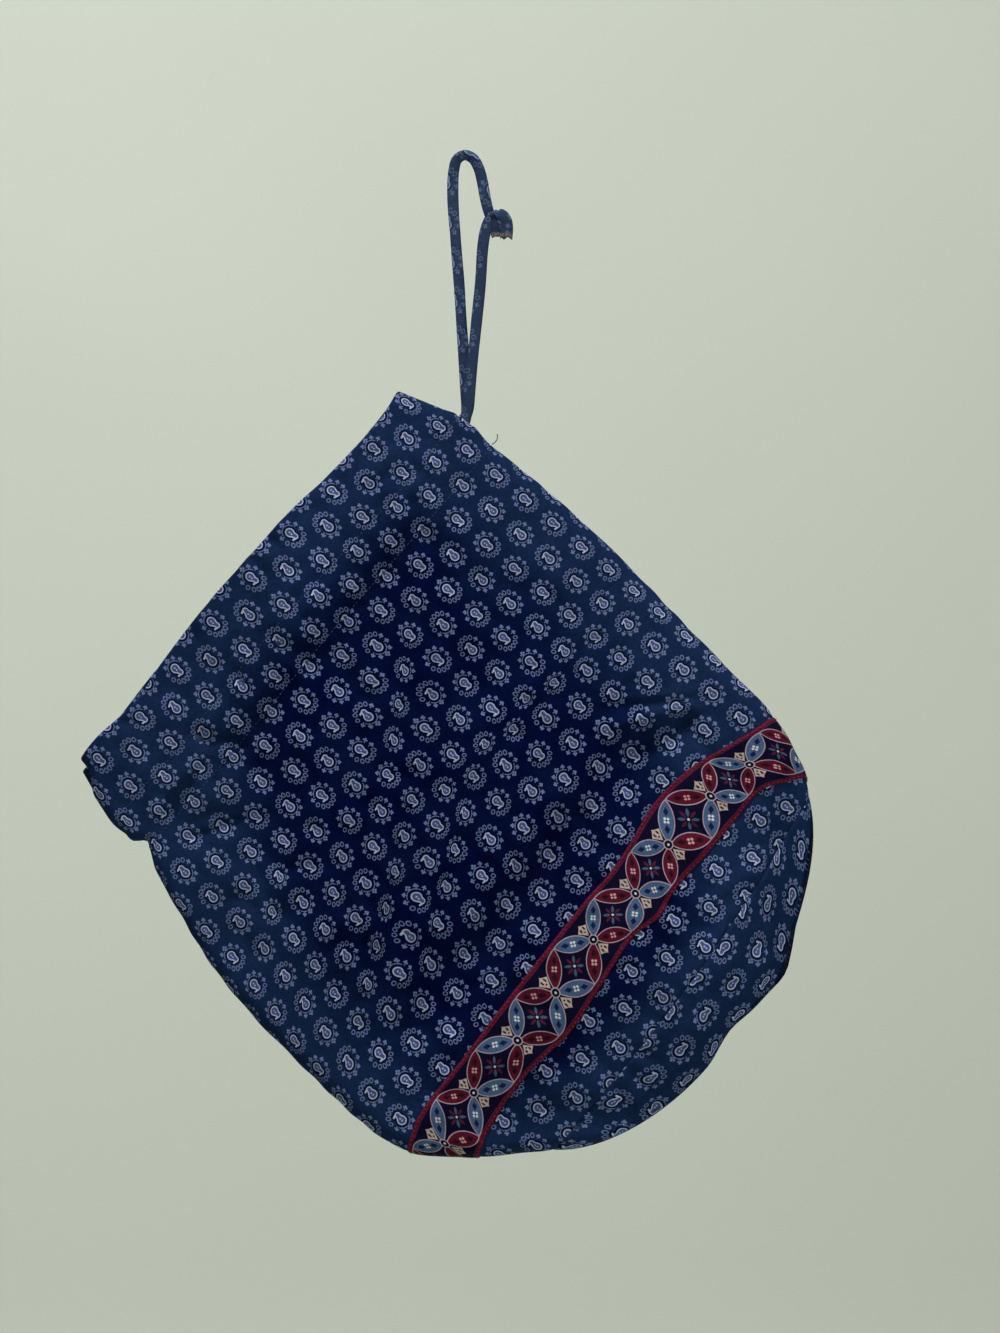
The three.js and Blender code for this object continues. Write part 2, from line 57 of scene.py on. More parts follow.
def addCamera(setup):
    data = bpy.data.cameras.new("camera")
    data.sensor_fit = "VERTICAL"
    data.sensor_height = setup["sensor"]
    data.lens = setup["sensor"] * setup["distance"] / setup["frameHeight"]
    camera = addObject("camera", data)
    camera.location = Vector((setup["middleX"], -setup["distance"], setup["middleZ"])) * mm
    camera.rotation_euler = (math.pi / 2, 0, 0)
    bpy.context.scene.camera = camera


addCamera(cameraSetup)


# Tables and the shape of the bag, the same as the solids have
def tableOf(columns, *rows):
    return {name: np.array(values, float) for name, values in zip(columns.split(), zip(*rows))}


def readTable(table, key, at, column):  # a cubic through the rows, each sloped as those beside it
    keys, values = table[key], table[column]
    last = len(keys) - 1
    before = np.maximum(np.arange(last + 1) - 1, 0)
    after = np.minimum(np.arange(last + 1) + 1, last)
    slopes = (values[after] - values[before]) / (keys[after] - keys[before])
    i = np.clip(np.searchsorted(keys, at) - 1, 0, last - 1)
    span = keys[i + 1] - keys[i]
    t = np.clip((at - keys[i]) / span, 0, 1)
    level = values[i] * (2 * t**3 - 3 * t**2 + 1) + values[i + 1] * (3 * t**2 - 2 * t**3)
    return level + span * (slopes[i] * (t**3 - 2 * t**2 + t) + slopes[i + 1] * (t**3 - t**2))


def ramp(value, start, end):  # 0 before start, 1 past end, smooth between
    t = np.clip((value - start) / (end - start), 0, 1)
    return t * t * (3 - 2 * t)


def bell(away, reach):  # 1 at no distance, fading to nothing a few reaches off
    return np.exp(-((away / reach) ** 2))


def driftingWave(place, length, drift, driftLength):  # a wave whose crests lie unevenly
    return np.sin(place / length + drift * np.sin(place / driftLength))


def unit(vectors):
    return vectors / np.linalg.norm(vectors, axis=-1, keepdims=True)


bag = dict(
    tilt=math.radians(49.6),
    rimX=-174.9,
    rimZ=-302.2,
    seamPast=0.05,  # the seams lie this far past the places 0 and 1 where the side turns begin
    seamGap=0.15,  # half the gap between the panels at a side seam
    bowPower=1.5,
    rimFade=70,  # how far down the rim's waves reach
    sections=tableOf(
        "drop left right front back leftTurn rightTurn",
        (0, -141, 195, 15, 12, 9, 12),
        (31, -151, 205, 16, 12.5, 9, 12),
        (49, -155, 211, 17, 13, 9, 12),
        (71, -150, 208, 18, 13, 9, 12),
        (88, -160, 208.5, 20, 13.5, 9, 12),
        (116, -170.5, 209, 22, 14, 9, 12),
        (157, -184, 208.5, 25, 15, 10, 12),
        (198, -192, 206, 27, 16, 11, 12),
        (239, -196, 202, 29, 17, 12, 13),
        (292, -199.5, 197, 31, 18, 13, 14),
        (320, -199, 195, 33, 19, 13, 14),
        (342, -194, 191, 34, 20, 14, 15),
        (382, -165, 175, 35, 21, 15, 16),
        (406, -141, 155, 35, 22, 16, 17),
        (418, -128, 140, 34, 22, 16, 17),
    ),
    rim=tableOf(
        "x front back",
        (-141, 0, 6),
        (-118, -1, 3),
        (-80, 3.5, 0),
        (-48, 0, -1),
        (0, -2.2, 0),
        (88, 0, 2),
        (120, 3.5, 3),
        (171, 6, 4),
        (195, 2, 2),
    ),
    band=tableOf(
        "across top bottom",
        (-0.05, 343, 382),
        (0.04, 331.5, 373.5),
        (0.19, 328.5, 369),
        (0.3, 326, 372.5),
        (0.42, 324, 368),
        (0.55, 322.5, 363),
        (0.61, 323, 368),
        (0.67, 321, 364),
        (0.77, 315.5, 365),
        (0.86, 319.5, 365),
        (0.95, 330, 366),
        (1.05, 341, 386),
    ),
    backBandLift=8,  # how much higher the back band runs in its middle
    baseSeam=tableOf("across drop", (-0.05, 417), (0.2, 416), (0.5, 413), (0.65, 410), (0.85, 404),
                     (1.05, 394)),
    basePole=(-10, -6),  # x and y of the bowl's lowest place
    baseBottom=460,
    baseStart=math.radians(22),  # where on a quarter round the bowl begins at its seam
)
front = dict(name="front", sign=-1)
back = dict(name="back", sign=1)

# Folds of the cloth: soft ridges and hollows along lines, steps, and lines that the cloth hangs over
folds = dict(
    ends=0.55,  # a ridge's height at its two ends, as a share of that in its middle
    taper=0.6,  # the lower, the further a step or a hanging line keeps its height towards its ends
    fade=3.5,  # how soon the folds reach their height, in from the side seams
    ridges=tableOf(
        "x1 drop1 x2 drop2 halfWidth lift",
        (-116, 243, 39, 133, 13, 3.2),
        (-120, 268, 67, 190, 14, 3.2),
        (-141, 173, -76, 137, 12, 3.5),
        (108, 252, 162, 293, 3.6, 3.2),
        (-128, 62, -84, 58, 4, 2.2),
        (-76, 48, -56, 78, 5, -2.5),
        (10, 46, 14, 80, 6, -2),
        (88, 40, 74, 80, 6, -2),
        (140, 60, 126, 100, 7, -2.4),
        (128, 378, 135, 412, 9, -3),
        (-128, 84, -98, 108, 10, -3),
        (-66, 84, -58, 112, 9, -3),
        (100, 78, 84, 128, 7, -2.2),
        (30, 84, 22, 118, 6, -1.6),
        (150, 200, 190, 150, 9, 1.8),
        (-170, 300, -100, 322, 10, 2.0),
        (-40, 386, 20, 402, 9, 1.8),
        (60, 380, 112, 398, 8, 1.8),
        (-112, 388, -66, 404, 9, 1.6),
        (39, 443, 96, 418, 7, -2.2),
        (-70, 436, -20, 450, 8, 1.5),
    ),
    steps=tableOf(
        "x1 drop1 x2 drop2 halfWidth lift",
        (-150, 263, -33, 200, 9, 1.5),
        (-110, 272, 28, 209, 9, 1.5),
        (-9, 166, 76, 114, 9, 1.3),
        (4, 203, 156, 212, 9, 1.2),
        (84, 262, 176, 296, 7, 1.8),
        (-150, 178, -84, 145, 7, 1.5),
    ),
    hangs=tableOf(  # the cloth hangs over each line, lies back below it and comes forward again slowly
        "x1 drop1 x2 drop2 halfWidth lift back",
        (-160, 279, 160, 276, 5.5, 16, 70),
        (-60, 72, 140, 70, 4.2, 9, 45),
        (-136, 172, -44, 56, 4.6, 8, 40),
        (98, 258, 176, 310, 1.6, 9, 24),
        (116, 240, 198, 318, 1.0, 5, 8),
        (-152, 71, -76, 63, 1.1, 5, 10),
        (-150, 78, -84, 114, 1.1, 5, 12),
        (-70, 40, -54, 84, 2, 3.5, 10),
        (150, 374, 118, 416, 2, 3, 8),
        (-30, 395, 60, 380, 5, 3, 25),
    ),
    back=tableOf(
        "x1 drop1 x2 drop2 halfWidth lift",
        (-120, 250, 70, 150, 15, 1.8),
        (-60, 300, 110, 260, 16, 1.6),
        (60, 90, 130, 170, 12, -1.5),
        (-140, 120, -60, 170, 12, 1.5),
    ),
)


def alongLine(lines, k, x, drop):  # how far along line k and from it a point lies, and the line's normal
    dx, dd = lines["x2"][k] - lines["x1"][k], lines["drop2"][k] - lines["drop1"][k]
    length = math.hypot(dx, dd)
    t = ((x - lines["x1"][k]) * dx + (drop - lines["drop1"][k]) * dd) / length**2
    near = np.clip(t, 0, 1)
    offX, offD = x - lines["x1"][k] - near * dx, drop - lines["drop1"][k] - near * dd
    side = np.sign(offX * -dd + offD * dx)
    return near, side * np.hypot(offX, offD), (-dd / length, dx / length)


def ridgeLift(lines, x, drop):
    lift = np.zeros(np.shape(x))
    for k in range(len(lines["lift"])):
        near, off, _ = alongLine(lines, k, x, drop)
        swell = folds["ends"] + (1 - folds["ends"]) * np.sin(np.pi * near)
        lift = lift + lines["lift"][k] * bell(off, lines["halfWidth"][k]) * swell
    return lift


def stepLift(lines, x, drop):  # up above the line, down below it
    lift = np.zeros(np.shape(x))
    for k in range(len(lines["lift"])):
        near, off, _ = alongLine(lines, k, x, drop)
        share = off / lines["halfWidth"][k]
        rise = share * np.exp(0.5 - share**2 / 2)  # 1 at a half width from the line
        lift = lift - lines["lift"][k] * rise * np.sin(np.pi * near) ** folds["taper"]
    return lift


def hangLift(lines, x, drop):
    lift = np.zeros(np.shape(x))
    for k in range(len(lines["lift"])):
        near, off, _ = alongLine(lines, k, x, drop)
        under = np.exp(-np.maximum(off, 0) / lines["back"][k]) / (1 + np.exp(-off / lines["halfWidth"][k]))
        lift = lift - lines["lift"][k] * under * np.sin(np.pi * near) ** folds["taper"]
    return lift


def frontFolds(x, drop):
    lift = ridgeLift(folds["ridges"], x, drop) + stepLift(folds["steps"], x, drop)
    return lift + hangLift(folds["hangs"], x, drop)


puckers = dict(
    casingLines=(45, 75),  # the drops of the casing's two sewn lines
    reach=7,
    height=0.6,
    waves=(17.0, 27.5),
    wavePhase=1.3,
    drawnIn=0.6,  # how far the thread draws the cloth in
    cordRidge=0.8,
    cordReach=5,
    hem=2.2,  # how far the doubled hem stands proud, down to its soft edge
    hemEdge=73,
    hemSoft=3,
    backShift=37,  # the back has the front's puckers and crumple, shifted along
    gathers=0.4,  # the gathers along the base seam
    gatherWave=14,
    gatherDrift=(1.5, 23),
    gatherReach=9,
    gatherFade=9,
)
crumple = dict(height=1.4, waves=14, shortest=24, longest=75, crease=0.15, level=0.9, seed=11)
# the right-hand lower corner is bent back along a line from one place to another, with some cloth tucked in
cornerFold = dict(
    x=160,
    drop=367,
    x2=39,
    drop2=455,
    slope=0.68,
    soft=1.3,
    tucked=6,
    tuckWay=(0.59, 0.81),
    tuckEdge=(-1, 1.5),
)
sideSeams = dict(
    wander=0.35,  # how far the seams wander, below the drops where that begins
    wanderFrom=(85, 110),
    leftWave=(4.4, 1.6, 23),
    rightWave=(5.5, 1.8, 19),
    notches=((70.5, 2.5, 1.8), (62, 5, -3.6)),  # at the hem's left end: drop, half width and how far in
    frontCorner=(5.4, 0.16),  # the front hem's corner is drawn in, so the back's shows past it
    frontCornerEnd=(6, 24),
)


def crumpleWaves():  # a few plane waves of cloth, their lengths and ways chosen by chance
    chance = np.random.default_rng(crumple["seed"])
    lengths = np.geomspace(crumple["shortest"], crumple["longest"], crumple["waves"])
    ways = chance.uniform(0, np.pi, crumple["waves"])
    starts = chance.uniform(0, 2 * np.pi, crumple["waves"])
    pace = 2 * np.pi / lengths
    return list(zip(pace * np.cos(ways), pace * np.sin(ways), starts))


crumpleSet = crumpleWaves()


def sway(x, drop):  # an uneven wave, about 1 high
    return sum(np.sin(a * x + b * drop + start) for a, b, start in crumpleSet) * (2 / crumple["waves"]) ** 0.5


def fineRelief(x, drop):  # puckers along the casing's stitches, the cord's ridge, the hem and the crumple
    first, second = puckers["waves"]
    waves = np.sin(2 * np.pi * x / first) + np.sin(2 * np.pi * x / second + puckers["wavePhase"])
    drawn = puckers["height"] * (waves / 2 - puckers["drawnIn"])
    lift = sum(drawn * bell(drop - line, puckers["reach"]) for line in puckers["casingLines"])
    lift = lift + puckers["cordRidge"] * bell(drop - casing["middle"], puckers["cordReach"])
    lift = lift + puckers["hem"] / (1 + np.exp((drop - puckers["hemEdge"]) / puckers["hemSoft"]))
    creased = np.sqrt(sway(x, drop) ** 2 + crumple["crease"])
    return lift + crumple["height"] * (creased - crumple["level"])


def pastCorner(x, drop):  # how far past the corner's fold a point lies
    dx, dd = cornerFold["x2"] - cornerFold["x"], cornerFold["drop2"] - cornerFold["drop"]
    return (dd * (x - cornerFold["x"]) - dx * (drop - cornerFold["drop"])) / math.hypot(dx, dd)


def cornerBack(x, drop):  # how far the bent corner lies back
    past = pastCorner(x, drop) / cornerFold["soft"]
    return cornerFold["slope"] * cornerFold["soft"] * np.logaddexp(0, past)


def gathers(x):
    length = puckers["gatherWave"] / (2 * np.pi)
    return puckers["gathers"] * driftingWave(x, length, *puckers["gatherDrift"])


def wallSurface(side, across, drop, slit=False):  # the outer face, at places across from seam to seam
    across, drop = np.broadcast_arrays(np.asarray(across, float), np.asarray(drop, float))
    names = ("left", "right", "leftTurn", "rightTurn", side["name"])
    left, right, leftTurn, rightTurn, depth = (readTable(bag["sections"], "drop", drop, n) for n in names)
    for notchDrop, halfWidth, inward in sideSeams["notches"]:
        left = left + inward * bell(drop - notchDrop, halfWidth)
    wander = sideSeams["wander"] * ramp(drop, *sideSeams["wanderFrom"])
    left = left + wander * driftingWave(drop, *sideSeams["leftWave"])
    right = right + wander * driftingWave(drop, *sideSeams["rightWave"])
    if side is front:
        inward, slant = sideSeams["frontCorner"]
        left = left + (inward + slant * drop) * (1 - ramp(drop, *sideSeams["frontCornerEnd"]))
    flat = np.clip(across, 0, 1)
    edge = leftTurn + (rightTurn - leftTurn) * flat
    bow = np.sin(np.pi * flat)
    x = left + leftTurn + (right - rightTurn - left - leftTurn) * flat
    if side is front:
        lift = frontFolds(x, drop) + fineRelief(x, drop)
        bent = cornerBack(x, drop)
    else:
        lift = ridgeLift(folds["back"], x, drop) + fineRelief(x + puckers["backShift"], drop)
        bent = 0 * x
    gathered = gathers(x) * bell(seamDrop(across) - drop, puckers["gatherReach"])
    lift = lift * np.minimum(1, folds["fade"] * bow) + gathered * np.minimum(1, puckers["gatherFade"] * bow)
    y = edge + (depth - edge) * bow ** bag["bowPower"] + lift - bent
    slitRoom = np.minimum(drop - casing["top"], casing["bottom"] - drop)
    opened = casing["slitHalf"] * np.clip(slitRoom / casing["slitTaper"], 0, 1)
    for turn, seam, sign, past in ((leftTurn, left, 1, -across), (rightTurn, right, -1, across - 1)):
        begin = (bag["seamGap"] + (opened if slit and sign < 0 else 0)) / turn
        angle = begin + (np.pi / 2 - begin) * (1 - np.clip(past / bag["seamPast"], 0, 1))
        x = np.where(past > 0, seam + sign * turn * (1 - np.cos(angle)), x)
        y = np.where(past > 0, (turn - bent) * np.sin(angle), y)
    dip = readTable(bag["rim"], "x", x, side["name"]) * np.maximum(0, 1 - drop / bag["rimFade"])
    return np.stack([x, side["sign"] * y, -drop - dip], -1)


def wallPoint(side, across, drop, inset, slit=False):  # set in from the outer face along its normal
    acrossStep, dropStep = 0.002, 0.4
    within = np.clip(across, -bag["seamPast"] + acrossStep, 1 + bag["seamPast"] - acrossStep)
    along = wallSurface(side, within + acrossStep, drop) - wallSurface(side, within - acrossStep, drop)
    down = wallSurface(side, within, drop + dropStep) - wallSurface(side, within, drop - dropStep)
    normal = side["sign"] * unit(np.cross(along, down))
    depth = np.broadcast_to(inset, normal.shape[:-1])[..., None]
    return wallSurface(side, across, drop, slit) - depth * normal


def toWorld(points):  # from the upright frame into the part's frame, in metres
    c, s = math.cos(bag["tilt"]), math.sin(bag["tilt"])
    x, y, up = points[..., 0], points[..., 1], points[..., 2]
    return np.stack([bag["rimX"] + c * x - s * up, y, bag["rimZ"] + s * x + c * up], -1) * mm


def bandEdge(side, across, edge):
    if side is front:
        return readTable(bag["band"], "across", across, edge)
    between = (across + bag["seamPast"]) / (1 + 2 * bag["seamPast"])
    ends = bag["band"][edge][0] + (bag["band"][edge][-1] - bag["band"][edge][0]) * between
    return ends - bag["backBandLift"] * np.sin(np.pi * between)


def seamDrop(across):
    return readTable(bag["baseSeam"], "across", across, "drop")


casing = dict(
    top=39,
    bottom=59,
    middle=51,
    slitHalf=6,  # half the width of the slit that the cord leaves by, and how long its ends are
    slitTaper=4,
    cordIn=3.4,  # how far in from the outer face the cord's middle runs
    hemOff=4.0,  # how far the hem stands off for the cord, and how soon it does
    hemEase=5,
    hemEnd=78,
)
cloth = dict(thickness=1.0, fold=1.4)  # the rim folds over a radius, so the hem lies two of them in


# How the print lies on the cloth: where the printed columns and rows run on the hanging bag
grain = dict(
    columnPitch=44.8,  # two columns of motifs, on flat cloth
    rowPitch=26.8,
    anchorX=154.5,
    anchorColumn=7,
    pitch=tableOf(
        "drop mm",
        (0, 40.3),
        (64, 40.3),
        (115, 40.4),
        (167, 40.7),
        (190, 41.3),
        (215, 42.0),
        (238, 42.9),
        (263, 43.5),
        (288, 44.5),
        (315, 44.7),
        (420, 44.9),
    ),
    rows=tableOf(
        "drop row",
        (-16, -1),
        (10.5, 0),
        (38, 1),
        (64.2, 2),
        (90, 3),
        (115.8, 4),
        (141, 5),
        (166, 6),
        (190, 7),
        (212.5, 8),
        (235, 9),
        (259.5, 10),
        (285, 11),
        (310.5, 12),
        (337.5, 13),
        (364.5, 14),
        (392, 15),
        (419, 16),
    ),
    gather=0.55,  # how much more cloth lies in a step of a fold than shows, over how many of its widths
    gatherWidths=1.2,
)


def seenPlace(points):  # x and drop where a point of the wall shows, against the plane of the seams
    world = toWorld(points) / mm
    grow = cameraSetup["distance"] / (cameraSetup["distance"] + world[..., 1])
    dx = cameraSetup["middleX"] + (world[..., 0] - cameraSetup["middleX"]) * grow - bag["rimX"]
    dz = cameraSetup["middleZ"] + (world[..., 2] - cameraSetup["middleZ"]) * grow - bag["rimZ"]
    c, s = math.cos(bag["tilt"]), math.sin(bag["tilt"])
    return c * dx + s * dz, s * dx - c * dz


def printPlace(side, x, drop):  # cloth millimetres across and down, as the print was laid
    u, v = x, drop
    if side is front:
        v = v - readTable(bag["rim"], "x", x, "front") * np.maximum(0, 1 - drop / bag["rimFade"])
        for k in range(len(folds["steps"]["lift"])):
            near, off, normal = alongLine(folds["steps"], k, x, drop)
            taken = grain["gather"] * bell(off, grain["gatherWidths"] * folds["steps"]["halfWidth"][k])
            push = off * taken * np.sin(np.pi * near) ** folds["taper"]
            u, v = u + push * normal[0], v + push * normal[1]
        tucked = cornerFold["tucked"] * ramp(pastCorner(x, drop), *cornerFold["tuckEdge"])
        u, v = u + cornerFold["tuckWay"][0] * tucked, v + cornerFold["tuckWay"][1] * tucked
    column = grain["anchorColumn"] + (u - grain["anchorX"]) / readTable(grain["pitch"], "drop", v, "mm")
    above = np.minimum(0, (v - grain["rows"]["drop"][0]) / grain["rowPitch"])  # past the first row
    row = readTable(grain["rows"], "drop", v, "row") + above
    return np.stack([column * grain["columnPitch"], row * grain["rowPitch"]], -1)


# Meshes
def gridFaces(grid, start=0):
    rows, columns = grid.shape[:2]
    ids = np.arange(rows * columns).reshape(rows, columns) + start
    return np.stack([ids[:-1, :-1], ids[1:, :-1], ids[1:, 1:], ids[:-1, 1:]], -1).reshape(-1, 4)


def closedWall(outer, inner):  # two grids of points and the faces of a closed wall between them
    rows, columns = outer.shape[:2]
    points = np.concatenate([outer.reshape(-1, 3), inner.reshape(-1, 3)])
    ids = np.arange(rows * columns).reshape(rows, columns)
    faces = gridFaces(outer)
    inside = rows * columns
    borders = (ids[0], ids[-1, ::-1], ids[::-1, 0], ids[:, -1])
    rims = [np.stack([b[:-1], b[1:], b[1:] + inside, b[:-1] + inside], -1) for b in borders]
    return points, [faces, faces[:, ::-1] + inside, np.concatenate(rims)]


def makePiece(name, points, faceSets, uv, materials, shadeAndFade=None):
    # faceSets has a set of faces for each material; uv and the last argument, a map of faded dye and painted
    # shade, a row for each point
    faces = np.concatenate(faceSets)
    corners = points[faces]
    volume = np.einsum("ij,ij->", corners[:, 0], np.cross(corners[:, 1], corners[:, 2]))
    volume = volume + np.einsum("ij,ij->", corners[:, 0], np.cross(corners[:, 2], corners[:, 3]))
    if volume < 0:
        faces = faces[:, ::-1]
    mesh = bpy.data.meshes.new(name)
    mesh.from_pydata(points.tolist(), [], faces.tolist())
    loops = np.empty(len(mesh.loops), np.int32)
    mesh.loops.foreach_get("vertex_index", loops)
    mesh.uv_layers.new(name="cloth").data.foreach_set("uv", uv[loops].astype(np.float32).ravel())
    if shadeAndFade is not None:
        dyed = mesh.attributes.new("shadeAndFade", "FLOAT", "POINT")
        dyed.data.foreach_set("value", shadeAndFade.astype(np.float32).ravel())
    index = np.repeat(np.arange(len(faceSets)), [len(s) for s in faceSets])
    for material in materials:
        mesh.materials.append(material)
    mesh.polygons.foreach_set("material_index", np.minimum(index, len(materials) - 1).astype(np.int32))
    shape = bmesh.new()
    shape.from_mesh(mesh)
    bmesh.ops.remove_doubles(shape, verts=shape.verts, dist=1e-7)
    shape.to_mesh(mesh)
    shape.free()
    mesh.polygons.foreach_set("use_smooth", np.ones(len(mesh.polygons), bool))
    print("made", name, "with", len(mesh.polygons), "faces")
    return addObject(name, mesh)


# Materials
def linear(colour):  # an sRGB hex value to linear
    shares = [int(colour[i : i + 2], 16) / 255 for i in (1, 3, 5)]
    return (*(s / 12.92 if s <= 0.04045 else ((s + 0.055) / 1.055) ** 2.4 for s in shares), 1)


# Adds a node, sets and links it, and gives its first live output
def addNode(tree, kind, inputs=(), **settings):
    kind, _, operation = kind.partition(" ")
    node = tree.nodes.new(kind if "Node" in kind else "ShaderNode" + kind)
    if operation:
        node.operation = operation
    for name, value in settings.items():
        setattr(node, name, value)
    for key, value in inputs.items() if isinstance(inputs, dict) else enumerate(inputs):
        if isinstance(value, bpy.types.NodeSocket):
            tree.links.new(value, node.inputs[key])
        elif value is not None:
            node.inputs[key].default_value = value
    return next((socket for socket in node.outputs if socket.enabled), None)


def newMaterial(name):
    material = bpy.data.materials.new(name)
    material.use_nodes = True
    material.node_tree.nodes.clear()
    return material, functools.partial(addNode, material.node_tree)


def inked(node, distance, soft=0.2):  # 1 within a drawn shape, 0 outside it
    return node("MapRange", [distance, -soft, soft, 1, 0], interpolation_type="SMOOTHSTEP")


def lengthOf(node, a, b):
    flat = node("CombineXYZ", [a, b])
    return node("VectorMath LENGTH", [flat])


def spot(node, a, b, radius):  # distance from a round spot, by how far off its middle a point lies
    return node("Math SUBTRACT", [lengthOf(node, a, b), radius])


def stroke(node, point, start, end, halfWidth):  # distance from a straight stroke with round ends
    run = Vector((*end, 0)) - Vector((*start, 0))
    fromStart = node("VectorMath SUBTRACT", [point, (*start, 0)])
    share = node("VectorMath DOT_PRODUCT", [fromStart, run / run.length_squared])
    share = node("Math ADD", [share, 0], use_clamp=True)
    along = node("VectorMath SCALE", {0: run, 3: share})
    apart = node("VectorMath SUBTRACT", [fromStart, along])
    away = node("VectorMath LENGTH", [apart])
    return node("Math SUBTRACT", [away, halfWidth])


# The foulard print: small botehs, each in a wreath of loops and buds, in columns that stand and hang by turns
motif = dict(
    bodyMiddle=(0.05, -1.5),
    bodyRadius=3.3,
    neck=((0.1, -0.4), (0.75, 2.9), 2.0),  # a stroke: its start, end and half width
    hook=((0.5, 4.2), (-2.6, 3.5), 0.62),
    neckJoin=1.6,
    hookJoin=0.5,
    outlineWide=0.76,
    wreathMiddle=(0.25, 0.1),
    wreathRadii=(7.7, 8.7),
    wreathCount=12,
    crowd=0.24,  # the wreath's elements crowd together at the hooked end
    loop=dict(squeeze=0.8, radius=1.2, halfLine=0.26),
    budPlaces=3,  # how many places of the wreath hold buds on either side of the fat end
    lobe=dict(aside=0.9, out=0.15, radius=0.7),
    tip=dict(out=1.1, radius=0.76),
    stem=dict(half=0.3, inward=0.9, halfLong=1.1),
    fleurSide=dict(aside=1.25, radius=0.75),  # the large fleur at the fat end
    fleurTip=dict(out=1.15, radius=0.85),
    fleurFoot=dict(out=-1.0, radius=0.7),
    fleurJoin=0.4,
    hug=dict(off=2.1, halfLine=0.24, below=3.2),  # the thin stem round the fat end
    beads=dict(middle=0.9, apart=0.9, radius=0.55),
    halo=dict(wide=1.1, soft=0.4),  # the dark ground close round the boteh
)


